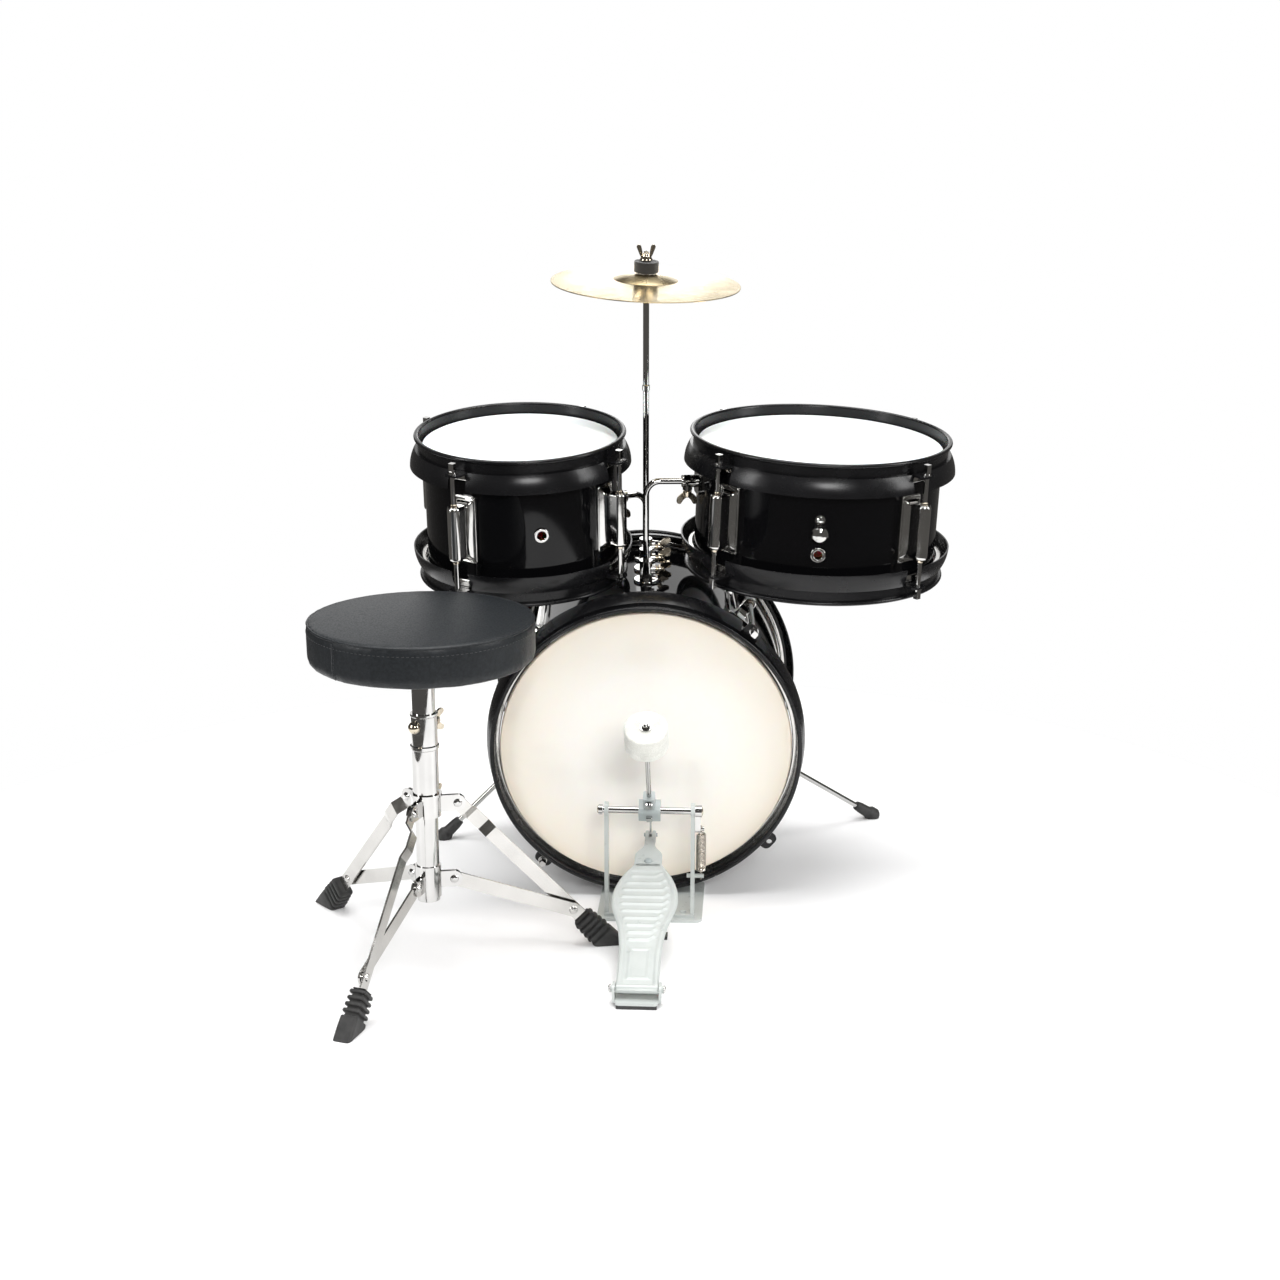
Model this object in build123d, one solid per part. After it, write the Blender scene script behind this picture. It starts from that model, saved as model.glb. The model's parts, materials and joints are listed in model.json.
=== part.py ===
from build123d import *
from dataclasses import dataclass
from math import atan2, cos, degrees, hypot, radians, sin
import os

# Junior acoustic drum kit: bass drum on two spurs with a pedal, two toms and a
# cymbal carried by three posts on the bass drum, and a folding round throne.
# Millimetres.  X to the drummer's right, Y away from the drummer, Z up.
# The kit is laid out about the centre of the bass drum's batter hoop, and the
# last step moves it so that the centre of its footprint is the origin.

# ---- general fits ------------------------------------------------------------
RUN = 0.05           # radial clearance of a shaft that turns or slides in a bore
GAP = 0.4            # gap between faces of pieces that move past each other
SEAT_GAP = 0.1       # gap between pieces that rest on each other in one body

# ---- drums: common -----------------------------------------------------------
hoop_height = 33.0           # from the rolled lip to the end of the skirt
hoop_wall_height = 14.5      # from the rolled lip to the shoulder
hoop_sheet = 1.4             # thickness of the pressed steel
hoop_lip_roll = 4.0          # diameter of the rolled lip
hoop_wall_inset = 3.6        # wall's outer face, inwards from the lip
hoop_skirt_flare = 5.0       # end of the skirt, outwards from the lip
head_recess = 11.0           # playing surface, below the lip
head_film = 0.5
flesh_ring_width = 5.0
flesh_ring_height = 8.0
shell_wall = 5.0
lug_standoff = 19.5          # tension rod's axis, outwards from the shell
lug_count = 4
lug_base_width = 27.0
lug_base_length = 70.0
lug_base_thickness = 2.5
lug_column_width = 14.0
lug_column_length = 56.0
rod_radius = 2.5
swivel_nut_radius = 3.6
swivel_nut_length = 12.0
swivel_nut_proud = 3.0
ear_width = 19.0
ear_thickness = 2.0
ear_overhang = 5.0           # ear's tip, outwards from the rod's axis
key_head_side = 5.8
key_head_height = 8.0
washer_radius = 4.6
washer_thickness = 1.4
vent_radius = 5.5
vent_flange_radius = 7.5

# ---- bass drum ---------------------------------------------------------------
bass_lip_radius = 161.0
bass_shell_radius = 150.0
bass_depth = 241.0           # from lip to lip
bass_tilt = 6.7              # front raised by the spurs
bass_first_lug = 50.0
plate_thickness = 3.0        # pedal plate under the hoop
hoop_to_plate = 0.2
bass_centre_z = (
    plate_thickness
    + hoop_to_plate
    + (bass_lip_radius + hoop_skirt_flare) * cos(radians(bass_tilt))
    - hoop_height * sin(radians(bass_tilt))
)

# ---- toms --------------------------------------------------------------------
small_lip_radius = 108.9
small_shell_radius = 99.5
small_depth = 152.5
small_x = -128.5             # tom's axis across the kit
small_u = 119.0              # tom's axis along the bass drum
small_lip_v = 311.0          # top lip above the bass drum's axis
small_arm_v = 224.0          # bracket height above the bass drum's axis
small_lug_bearing = 59.0
small_vent_bearing = -76.0
small_droop = 0.5            # arm's slope below level
small_roll = 0.0

large_lip_radius = 135.5
large_shell_radius = 126.0
large_depth = 145.0
large_x = 179.5
large_u = 135.0
large_lip_v = 310.0
large_arm_v = 259.0
large_lug_bearing = 41.5
large_vent_bearing = -93.5
large_droop = 2.5
large_roll = -2.5            # tom leaned back on its arm

bracket_tube_radius = 6.5
bracket_tube_length = 18.0
bracket_plate_width = 26.0
bracket_plate_height = 26.0
bracket_plate_thickness = 3.0

# ---- posts, arms and cymbal --------------------------------------------------
front_post_u = 107.0         # carries the large tom's arm
middle_post_u = 142.0        # carries the cymbal rod
rear_post_u = 176.0          # carries the small tom's arm
post_radius = 6.8
post_height = 23.0
post_flange_radius = 13.0
post_flange_thickness = 2.5
post_screw_height = 13.0
arm_radius = 3.25
arm_bend_radius = 14.0
arm_tail = 30.0              # length of arm below the shell's top
arm_hole_clearance = 0.8
cymbal_rod_radius = 3.1
cymbal_rim_v = 457.0
cymbal_radius = 96.0
cymbal_rise = 3.5            # from the rim up to the foot of the bell
cymbal_bell_radius = 33.0
cymbal_bell_height = 6.0
cymbal_thickness = 1.0
cymbal_hole_radius = 6.0
cymbal_tilt_back = -1.2
cymbal_tilt_right = 2.3
felt_radius = 12.5
lower_felt_radius = 10.0
lower_felt_height = 8.0
upper_felt_height = 13.0
felt_gap = 0.6               # felt to bell at the hole, so that the cymbal can rock
felt_crown = 0.8             # how much more the gap is at the felt's edge
cymbal_rod_top_v = 489.0

# ---- wing screws -------------------------------------------------------------
wing_shaft_radius = 2.4
wing_hub_radius = 4.0
wing_hub_length = 6.0
wing_span = 21.0
wing_thickness = 2.4
wing_length = 8.0

# ---- spurs -------------------------------------------------------------------
spur_radius = 3.0
spur_bracket_x = 131.0
spur_bracket_u = 190.0
spur_bracket_v = -87.0
spur_boss_radius = 7.5
spur_boss_length = 34.0
spur_inside_length = 55.0
spur_tip_length = 26.0
spur_tip_radius = 6.5
spur_tip_flare = 8.5
spur_feet = {"right": (265.0, 258.0), "left": (-229.0, 189.0)}
spur_foot_height = 3.5       # rod's end above the floor, inside its rubber tip

# ---- pedal -------------------------------------------------------------------
pedal_x = 6.0
pedal_yaw = -3.5
base_width = 108.0
base_front = -52.0
base_back = 56.0
clamp_half_width = 11.0
clamp_depth = 6.0            # how far the clamp reaches behind the hoop's lip
upright_x = 44.0
upright_y = -37.0
upright_width = 13.0
upright_thickness = 4.0
upright_foot_length = 16.0
axle_z = 116.0
axle_radius = 3.5
axle_boss_radius = 8.0
axle_overhang = 4.0
hub_width = 22.0
hub_side = 18.0
hub_top_width = 12.0
hub_top_height = 15.0
beater_lean = 32.7           # beater's rest angle, towards the drummer
beater_rod_radius = 2.5
beater_reach = 132.0         # from the axle to the felt's top face
beater_felt_radius = 21.5
beater_felt_height = 28.0
lobe_reach = 20.0
link_pin_radius = 2.0
link_slack = 1.2
link_width = 9.0
link_thickness = 2.0
toe_z = 82.0
toe_y = upright_y + lobe_reach
heel_y = -245.0
heel_z = 15.0
board_thickness = 3.0
board_border = 4.5
board_dish = 0.9             # depth of the ribbed area below the border
board_rib_count = 10
board_rib_radius = 1.6
board_neck = 13.8            # half width between the shoulders and the toe
board_heel = -0.025
# half width of the board at shares of its length from the heel hinge
board_stations = [
    (-0.05, 20.5),
    (0.10, 20.2),
    (0.22, 20.4),
    (0.36, 24.0),
    (0.50, 32.0),
    (0.60, 31.6),
    (0.70, 24.5),
    (0.78, 14.5),
]
heel_pin_radius = 2.0
heel_width = 40.0
stretcher_radius = 2.0
stretcher_x = 13.0
spring_x = 52.5
spring_radius = 5.0
spring_wire = 1.0
spring_turns = 18
lever_length = 18.6
lower_pin_z = 46.0

# ---- throne ------------------------------------------------------------------
throne_x = -212.0
throne_y = -139.0
throne_first_leg = 10.0
throne_legs = 3
sleeve_radius = 12.7         # upper part of the tube
sleeve_top = 252.0
sleeve_bottom = 172.0
lower_tube_radius = 11.0
lower_tube_bottom = 62.0
lower_tube_wall = 1.6
hub_outer_radius = 12.6
hub_height = 32.0
hub_pivot_r = 25.0
hub_pivot_z = 82.0
collar_radius = 14.2
collar_height = 23.0
collar_pivot_r = 30.0
collar_pivot_z = 160.0
knee_r = 142.0               # rivet that joins leg and brace
knee_z = 40.0
strip_width = 14.0
strip_thickness = 2.0
cheek_thickness = 1.5
pivot_radius = 2.5
leg_offset = 4.4             # sideways joggle of the leg
leg_bump = 7.6
foot_length = 52.0
foot_start = 13.0            # from the knee rivet to the rubber
leg_in_foot = 17.0
foot_width = 25.0
foot_depth = 17.0
foot_ribs = 4
post_outer_radius = 11.0
post_wall = 1.5
post_bottom = 178.0
post_top = 300.0
bolt_z = 240.0
bolt_bearing = -127.0
bolt_radius = 2.9
height_travel = 45.0
seat_radius = 109.0
seat_bottom = 304.0
seat_height = 43.0
seat_edge = 6.0
cup_radius = 27.0
cup_neck_radius = 14.5
cup_bottom = 286.0


@dataclass
class Drum:
    """One drum, in a frame with its lip plane at Z = 0 and its body below."""

    lip: float
    shell: float
    depth: float
    first_lug: float
    open_ears: tuple = ()

    @property
    def rod(self):
        return self.shell + lug_standoff

    @property
    def bearings(self):
        return [self.first_lug + 360.0 / lug_count * i for i in range(lug_count)]


bass = Drum(bass_lip_radius, bass_shell_radius, bass_depth, bass_first_lug, (3,))

# the bass drum's frame: X across, Y along its axis, Z up from its axis
kit = Location((0, 0, bass_centre_z), (bass_tilt, 0, 0))
bass_frame = kit * Location((0, 0, 0), (90, 0, 0))


# ---- small helpers -----------------------------------------------------------
def bar(start, end, radius):
    """A round bar from one point to another."""
    start = Vector(start)
    run = Vector(end) - start
    place = Plane(origin=start, z_dir=run).location
    return place * Cylinder(radius, run.length, align=(Align.CENTER, Align.CENTER, Align.MIN))


def disc(radius, low, high):
    """A cylinder about Z between two heights."""
    return Pos(0, 0, low) * Cylinder(radius, high - low, align=(Align.CENTER, Align.CENTER, Align.MIN))


def ring(outer, inner, low, high):
    """A tube about Z between two heights."""
    return disc(outer, low, high) - disc(inner, low - 1, high + 1)


def block(x, y, z):
    """A box given by its low and high corner along each axis."""
    size = (x[1] - x[0], y[1] - y[0], z[1] - z[0])
    return Pos((x[0] + x[1]) / 2, (y[0] + y[1]) / 2, (z[0] + z[1]) / 2) * Box(*size)


def turned(points):
    """A solid of revolution about Z from (radius, height) points."""
    outline = make_face(Plane.XZ * Polyline(*points, close=True))
    return revolve(outline, Axis.Z)


def around(angle, shape):
    return Rot(0, 0, angle) * shape


def bent_bar(points, bend, radius):
    """A round bar through the points with equal bends."""
    path = FilletPolyline(*points, radius=bend)
    section = Plane(origin=path @ 0, z_dir=path % 0) * Circle(radius)
    return sweep(section, path=path)


def wing_screw(tip, shoulder, radius=wing_shaft_radius, shaft_end=None):
    """A wing screw on +X: its shaft runs from tip, its wings start past shoulder."""
    shaft = Rot(0, 90, 0) * disc(radius, tip, shoulder + wing_hub_length)
    hub = Rot(0, 90, 0) * disc(wing_hub_radius, shoulder, shoulder + wing_hub_length)
    wing_start = shoulder + wing_hub_length - 3
    wing_end = shoulder + wing_hub_length + wing_length
    spread = wing_span / 2
    outline = Polyline(
        (wing_start, -wing_hub_radius),
        (wing_end - 3, -spread),
        (wing_end, -spread + 1),
        (wing_end, -spread + 5),
        (wing_start + 3, 0),
        (wing_end, spread - 5),
        (wing_end, spread - 1),
        (wing_end - 3, spread),
        (wing_start, wing_hub_radius),
        close=True,
    )
    wings = extrude(make_face(Plane.XZ * outline), wing_thickness / 2, both=True)
    return shaft + hub + wings


# ---- drum pieces, each in its drum's own frame -------------------------------
def half_depths(drum):
    """Locations that put a top-side piece at the top and, flipped, at the bottom."""
    return [Location((0, 0, 0)), Location((0, 0, -drum.depth), (180, 0, 0))]


def shell(drum):
    top = -head_recess - head_film - SEAT_GAP
    bottom = -drum.depth - top
    body = ring(drum.shell, drum.shell - shell_wall, bottom, top)
    return body


def head(drum):
    """Film with a collar over the shell's edge, held in a metal flesh ring."""
    top = -head_recess
    shoulder = -hoop_wall_height - hoop_sheet - SEAT_GAP
    collar = drum.shell + 0.6
    rim = collar + head_film
    outer = rim + 0.6 + flesh_ring_width
    points = [
        (0, top),
        (rim, top),
        (rim, shoulder),
        (outer, shoulder),
        (outer, shoulder - flesh_ring_height),
        (rim + 0.6, shoulder - flesh_ring_height),
        (rim + 0.6, shoulder - head_film),
        (collar, shoulder - head_film),
        (collar, top - head_film),
        (0, top - head_film),
    ]
    return turned(points)


def hoop_section(lip):
    """Rolled lip, wall, shoulder and flared skirt, as a face to be turned."""
    roll = hoop_lip_roll / 2
    wall = lip - hoop_wall_inset
    inner = wall - hoop_sheet
    shoulder = -hoop_wall_height
    under = shoulder - hoop_sheet
    skirt = lip - 0.5
    flare = lip + hoop_skirt_flare
    mid = (shoulder - hoop_height) / 2
    lines = [
        Line((inner, under), (inner, -roll)),
        ThreePointArc((inner, -roll), (inner + 0.6, -0.6), (inner + roll, 0)),
        Line((inner + roll, 0), (lip - roll, 0)),
        ThreePointArc((lip - roll, 0), (lip, -roll), (lip - roll, -hoop_lip_roll)),
        Line((lip - roll, -hoop_lip_roll), (wall, -hoop_lip_roll)),
        Line((wall, -hoop_lip_roll), (wall, shoulder)),
        Line((wall, shoulder), (skirt, shoulder)),
        ThreePointArc((skirt, shoulder), (lip + 3.6, mid), (flare, -hoop_height)),
        Line((flare, -hoop_height), (flare - hoop_sheet, -hoop_height)),
        ThreePointArc(
            (flare - hoop_sheet, -hoop_height),
            (lip + 3.6 - hoop_sheet, mid),
            (skirt - hoop_sheet, under),
        ),
        Line((skirt - hoop_sheet, under), (inner, under)),
    ]
    return Plane.XZ * make_face(lines)


def hoop_wall_bottom(drum, x):
    """Depth, below the drum's axis, of the hoop's inner wall at a place across the drum."""
    inner = drum.lip - hoop_wall_inset - hoop_sheet
    return (inner**2 - x**2) ** 0.5


def ear(drum):
    """Flat ear on +X that carries a tension rod."""
    inner = drum.lip - 2.4
    tip = drum.rod + ear_overhang
    top = -hoop_wall_height + 0.3
    plate = block((inner, tip), (-ear_width / 2, ear_width / 2), (top - ear_thickness, top))
    plate = fillet(plate.edges().filter_by(Axis.Z).group_by(Axis.X)[-1], 6)
    hole = Pos(drum.rod, 0, 0) * disc(rod_radius + 0.4, top - 5, top + 5)
    return plate - hole


def hoop(drum):
    """Pressed hoop with an arch in its skirt under each ear."""
    body = revolve(hoop_section(drum.lip), Axis.Z)
    arch_top = -hoop_wall_height - ear_thickness
    for bearing in drum.bearings:
        cut = block((drum.lip - 3.4, drum.rod + 9), (-ear_width / 2 - 1, ear_width / 2 + 1), (-40, arch_top))
        cut = fillet(cut.edges().filter_by(Axis.X).group_by(Axis.Z)[-1], 5)
        body -= around(bearing, cut)
        body += around(bearing, ear(drum))
    return body


def lug(drum):
    """Saddle base, tapered stem and half-round column on +X, bored at both ends."""
    half_width = lug_base_width / 2
    half_length = lug_base_length / 2
    base = block((-3, lug_base_thickness), (-half_width, half_width), (-half_length, half_length))
    rim = base.faces().sort_by(Axis.X)[-1]
    base = chamfer(rim.edges(), 1.0)
    dish = block(
        (lug_base_thickness - 0.9, lug_base_thickness + 1),
        (-half_width + 2.5, half_width - 2.5),
        (-half_length + 2.5, half_length - 2.5),
    )
    foot = Plane.YZ.offset(lug_base_thickness - 1) * Rectangle(20, lug_column_length + 8)
    waist = Plane.YZ.offset(lug_base_thickness + 6) * Rectangle(lug_column_width, lug_column_length)
    stem = loft([foot, waist])
    column = block(
        (lug_base_thickness + 5.9, lug_standoff),
        (-lug_column_width / 2, lug_column_width / 2),
        (-lug_column_length / 2, lug_column_length / 2),
    )
    nose = Pos(lug_standoff, 0, 0) * Cylinder(lug_column_width / 2, lug_column_length)
    body = (base - dish) + stem + column + nose
    nut_bore = Pos(lug_standoff, 0, 0) * Cylinder(swivel_nut_radius + 0.1, lug_column_length + 2)
    body = Pos(drum.shell, 0, 0) * (body - nut_bore)
    return body - disc(drum.shell + SEAT_GAP, -half_length - 5, half_length + 5)


def swivel_nut(drum, side):
    """Collar nut in the end of a lug, threaded for the rod."""
    outer_end = lug_column_length / 2 + swivel_nut_proud
    inner_end = outer_end - swivel_nut_length
    low, high = sorted((side * inner_end, side * outer_end))
    return Pos(drum.rod, 0, 0) * ring(swivel_nut_radius, rod_radius + RUN, low, high)


def lugs(drum):
    pieces = []
    for bearing in drum.bearings:
        middle = Location((0, 0, -drum.depth / 2), (0, 0, bearing))
        pieces.append(middle * lug(drum))
        pieces += [middle * swivel_nut(drum, side) for side in (-1, 1)]
    return pieces


def tension_rod(drum):
    """Key rod with a square head and a flange washer, on +X."""
    seat = -hoop_wall_height + 0.3 + SEAT_GAP
    end = -drum.depth / 2 + lug_column_length / 2 - 6
    shaft = disc(rod_radius, end, seat + washer_thickness)
    washer = disc(washer_radius, seat, seat + washer_thickness)
    neck = disc(3.4, seat + washer_thickness, seat + washer_thickness + 1.6)
    low = seat + washer_thickness + 1.6
    half = key_head_side / 2
    square = block((-half, half), (-half, half), (low - 0.5, low + key_head_height))
    square = chamfer(square.edges().filter_by(Axis.Z), 0.6)
    return Pos(drum.rod, 0, 0) * (shaft + washer + neck + square)


def tension_rods(drum):
    """All rods; the first hoop's open ears carry none."""
    pieces = []
    for side, place in enumerate(half_depths(drum)):
        for number, bearing in enumerate(drum.bearings):
            if side == 0 and number in drum.open_ears:
                continue
            turn = bearing if side == 0 else -bearing
            pieces.append(place * around(turn, tension_rod(drum)))
    return pieces


def mirrored_pair(drum, maker):
    """A piece at the top and the same piece, flipped, at the bottom."""
    flipped = Location((0, 0, -drum.depth)) * mirror(maker(drum), Plane.XY)
    return [maker(drum), flipped]


# ---- toms: X runs from the post to the tom's axis ----------------------------
class Tom:
    """A tom on its arm: where it is and the frames its pieces are made in."""

    def __init__(self, x, u, lip_v, arm_v, post_u, droop, roll, lip, shell_radius, depth, lug_bearing):
        self.post_u = post_u
        self.arm_v = arm_v
        self.heading = degrees(atan2(u - post_u, x))
        self.reach = hypot(x, u - post_u)
        self.lip_height = lip_v - arm_v
        self.droop = droop
        self.drum = Drum(lip, shell_radius, depth, lug_bearing - self.heading)
        self.arm_frame = kit * Location((0, post_u, arm_v), (0, 0, self.heading))
        self.frame = self.arm_frame * Location((0, 0, 0), (0, droop, 0)) * Location((0, 0, 0), (roll, 0, 0))
        self.drum_frame = self.frame * Location((self.reach, 0, self.lip_height))


small = Tom(
    small_x, small_u, small_lip_v, small_arm_v, rear_post_u, small_droop, small_roll,
    small_lip_radius, small_shell_radius, small_depth, small_lug_bearing,
)
large = Tom(
    large_x, large_u, large_lip_v, large_arm_v, front_post_u, large_droop, large_roll,
    large_lip_radius, large_shell_radius, large_depth, large_lug_bearing,
)


def bracket_start(tom):
    """Near end of the bracket's tube, from the post's axis."""
    return tom.reach - tom.drum.shell - bracket_tube_length


def tom_arm(tom):
    """Bent rod: upright in the post, level into the tom's bracket."""
    end = tom.reach - tom.drum.shell - GAP
    slope = radians(tom.droop)
    points = [
        (0, 0, bass_shell_radius - arm_tail - tom.arm_v),
        (0, 0, 0),
        (end * cos(slope), 0, -end * sin(slope)),
    ]
    return tom.arm_frame * bent_bar(points, arm_bend_radius, arm_radius)


def tom_bracket(tom):
    """Saddle plate and tube on the tom's shell, with a boss for its wing screw."""
    near = bracket_start(tom)
    far = tom.reach - tom.drum.shell
    tube = Rot(0, 90, 0) * ring(bracket_tube_radius, arm_radius + RUN, near, far + 3)
    half_width = bracket_plate_width / 2
    half_height = bracket_plate_height / 2
    plate = block((far - bracket_plate_thickness, far + 3), (-half_width, half_width), (-half_height, half_height))
    plate = fillet(plate.edges().filter_by(Axis.X), 6)
    plate -= Rot(0, 90, 0) * disc(bracket_tube_radius - 1, near, far + 6)
    boss = Pos(near + bracket_tube_length / 2 - 3, 0, 0) * disc(5, -bracket_tube_radius - 3, -arm_radius - 1)
    bore = Pos(near + bracket_tube_length / 2 - 3, 0, 0) * disc(wing_shaft_radius + RUN, -30, 0)
    shell_space = Pos(tom.reach, 0, 0) * disc(tom.drum.shell + SEAT_GAP, -90, 90)
    return tom.frame * ((plate + tube + boss) - bore - shell_space)


def tom_screw(tom):
    """Wing screw under the bracket."""
    screw = Rot(0, 90, 0) * wing_screw(arm_radius + GAP, bracket_tube_radius + 4)
    return tom.frame * Pos(bracket_start(tom) + bracket_tube_length / 2 - 3, 0, 0) * screw


def vent_place(tom, bearing, height):
    """Frame on the tom's shell with X pointing out, at a world bearing and a height."""
    turn = Location((0, 0, 0), (0, 0, bearing - tom.heading))
    return tom.drum_frame * turn * Location((tom.drum.shell, 0, height))


def grommet():
    """Eyelet through the shell."""
    flange = Rot(0, 90, 0) * ring(vent_flange_radius, 4.5, SEAT_GAP, 2.2)
    flange = fillet(flange.edges().filter_by(GeomType.CIRCLE).group_by(Axis.X)[-1], 0.7)
    sleeve = Rot(0, 90, 0) * ring(vent_radius - RUN, 4.5, -shell_wall - 2, SEAT_GAP + 0.5)
    return flange + sleeve


def tom_shell(tom, vent_bearing, vent_height):
    hole = Rot(0, 90, 0) * disc(vent_radius, -20, 20)
    return tom.drum_frame * shell(tom.drum) - vent_place(tom, vent_bearing, vent_height) * hole


# ---- tone control on the large tom -------------------------------------------
tone_plate_radius = 6.0
tone_knob_radius = 8.5
tone_knob_length = 11.0
tone_shaft_radius = 2.4
tone_spacing = 23.0
screw_spacing = 13.0
vent_height_large = -large_depth / 2 - 22.0
vent_height_small = -small_depth / 2 - 4.0
tone_height = vent_height_large + tone_spacing


def tone_bush():
    """Bush that carries the knob's shaft through the shell."""
    bush = Rot(0, 90, 0) * ring(4.0 - RUN, tone_shaft_radius + RUN, -shell_wall - 2, 2.0)
    return bush + Rot(0, 90, 0) * ring(tone_plate_radius, tone_shaft_radius + RUN, SEAT_GAP, 1.6)


def tone_knob():
    """Domed knob with a waisted neck and its shaft."""
    start = 2.0 + GAP
    points = [
        (0, -shell_wall - 6),
        (tone_shaft_radius, -shell_wall - 6),
        (tone_shaft_radius, start),
        (tone_knob_radius - 3, start),
        (tone_knob_radius - 2.2, start + 3),
        (tone_knob_radius, start + 4.5),
        (tone_knob_radius, start + 7),
        (tone_knob_radius - 1.6, start + 9),
        (tone_knob_radius - 4.5, start + tone_knob_length - 0.6),
        (0, start + tone_knob_length),
    ]
    return Rot(0, 90, 0) * turned(points)


def screw_washer():
    """Small screw with a washer above the knob."""
    washer = Rot(0, 90, 0) * disc(5.0, SEAT_GAP, 1.4)
    dome = Rot(0, 90, 0) * turned([(0, 1.3), (3.4, 1.3), (3.2, 2.4), (2.0, 3.3), (0, 3.6)])
    return washer + dome


# ---- posts on the bass drum --------------------------------------------------
post_bores = {front_post_u: arm_radius, middle_post_u: cymbal_rod_radius, rear_post_u: arm_radius}


def post(rod):
    """Flanged post on top of the shell, with a screw boss on its right side."""
    top = bass_shell_radius + post_height
    flange = disc(post_flange_radius, bass_shell_radius - 4, bass_shell_radius + post_flange_thickness)
    flange = chamfer(flange.edges().filter_by(GeomType.CIRCLE).group_by(Axis.Z)[-1], 0.8)
    tube = disc(post_radius, bass_shell_radius - 2, top)
    screw_z = bass_shell_radius + post_screw_height
    boss = Pos(0, 0, screw_z) * Rot(0, 90, 0) * disc(4.6, 0, post_radius + 3)
    screw_hole = Pos(0, 0, screw_z) * Rot(0, 90, 0) * disc(wing_shaft_radius + RUN, 0, 30)
    bore = disc(rod + RUN, bass_shell_radius - 10, top + 5)
    return flange + tube + boss - screw_hole - bore


def shell_brackets():
    """Three posts and two spur bosses, shaped to the shell."""
    inside = Rot(90, 0, 0) * Cylinder(bass_shell_radius + SEAT_GAP, 3 * bass_depth)
    pieces = [kit * ((Pos(0, u, 0) * post(rod)) - inside) for u, rod in post_bores.items()]
    for side in spur_feet:
        pieces.append(kit * (spur_boss(side) - inside))
    return pieces


def bass_shell():
    body = bass_frame * shell(bass)
    for u, rod in post_bores.items():
        body -= kit * Pos(0, u, 0) * disc(rod + arm_hole_clearance, bass_shell_radius - 20, bass_shell_radius + 5)
    for side in spur_feet:
        start, end = spur_line(side)
        body -= bar(start, end, spur_radius + arm_hole_clearance)
    return body


def post_wing_bolt(u):
    screw_z = bass_shell_radius + post_screw_height
    tip = post_bores[u] + GAP
    return kit * Pos(0, u, screw_z) * wing_screw(tip, post_radius + 6)


# ---- spurs -------------------------------------------------------------------
def spur_points(side):
    """Middle of the bracket and the rod's lower end, in the kit's frame."""
    sign = 1 if side == "right" else -1
    middle = (kit * Pos(sign * spur_bracket_x, spur_bracket_u, spur_bracket_v)).position
    x, y = spur_feet[side]
    return middle, Vector(x, y, spur_foot_height)


def spur_line(side):
    """Upper end of the spur's rod, inside the shell, and its lower end."""
    middle, foot = spur_points(side)
    along = (foot - middle).normalized()
    return middle - along * spur_inside_length, foot


def spur_boss(side):
    """Boss that the spur slides in, on a pad on the shell, in the drum's frame."""
    sign = 1 if side == "right" else -1
    middle, foot = spur_points(side)
    local = kit.inverse()
    centre = (local * Pos(*middle)).position
    along = ((local * Pos(*foot)).position - centre).normalized()
    start = centre - along * spur_boss_length / 2
    end = centre + along * spur_boss_length / 2
    boss = bar(start, end, spur_boss_radius)
    angle = degrees(atan2(spur_bracket_v, spur_bracket_x))
    pad = block((bass_shell_radius - 6, bass_shell_radius + 3), (-21, 21), (-14, 14))
    pad = fillet(pad.edges().filter_by(Axis.X), 6)
    pad = Pos(0, spur_bracket_u, 0) * Rot(0, -angle, 0) * pad
    if sign < 0:
        pad = mirror(pad, Plane.YZ)
    neck = spur_neck(side)
    bore = bar(centre - along * 90, centre + along * 90, spur_radius + RUN)
    hole_end = spur_screw_frame(side)
    screw_hole = local * hole_end * Rot(0, 90, 0) * disc(wing_shaft_radius + RUN, 0, 40)
    return boss + pad + neck - bore - screw_hole


def spur_neck(side):
    """Stub that carries the wing screw, on the front of the boss."""
    return kit.inverse() * spur_screw_frame(side) * Rot(0, 90, 0) * disc(4.6, 0, spur_boss_radius + 2.5)


def spur_screw_frame(side):
    """Frame at the boss's outer half with X towards the drummer."""
    middle, foot = spur_points(side)
    along = (foot - middle).normalized()
    origin = middle + along * (spur_boss_length / 2 - 5)
    towards = Vector(0, -1, 0)
    towards = (towards - along * towards.dot(along)).normalized()
    return Plane(origin=origin, x_dir=towards, z_dir=along).location


def spur_rod(side):
    start, end = spur_line(side)
    return bar(start, end, spur_radius)


def spur_tip(side):
    """Rubber tip with a flared end, flat where it stands on the floor."""
    start, end = spur_line(side)
    along = (end - start).normalized()
    frame = Plane(origin=end, z_dir=along).location
    points = [
        (0, -spur_tip_length),
        (spur_tip_radius - 1.5, -spur_tip_length),
        (spur_tip_radius - 0.5, -spur_tip_length + 6),
        (spur_tip_radius, -8),
        (spur_tip_flare, -4),
        (spur_tip_flare, 3),
        (spur_tip_flare - 2, 6),
        (0, 6),
    ]
    body = frame * turned(points)
    pocket = bar(end - along * 60, end, spur_radius)
    floor = block((-600, 600), (-600, 600), (-50, 0))
    return body - pocket - floor


def spur_screw(side):
    return spur_screw_frame(side) * wing_screw(spur_radius + GAP, spur_boss_radius + 4)


# ---- cymbal ------------------------------------------------------------------
cymbal_frame = kit * Pos(0, middle_post_u, cymbal_rim_v)
bell_top = cymbal_rise + cymbal_bell_height
cymbal_joint_v = 345.0
felt_seat = bell_top - cymbal_thickness
cymbal_pivot = cymbal_frame * Pos(0, 0, bell_top) * Rot(cymbal_tilt_back, cymbal_tilt_right, 0)
cymbal_lean = cymbal_pivot * Pos(0, 0, -bell_top)


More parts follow.
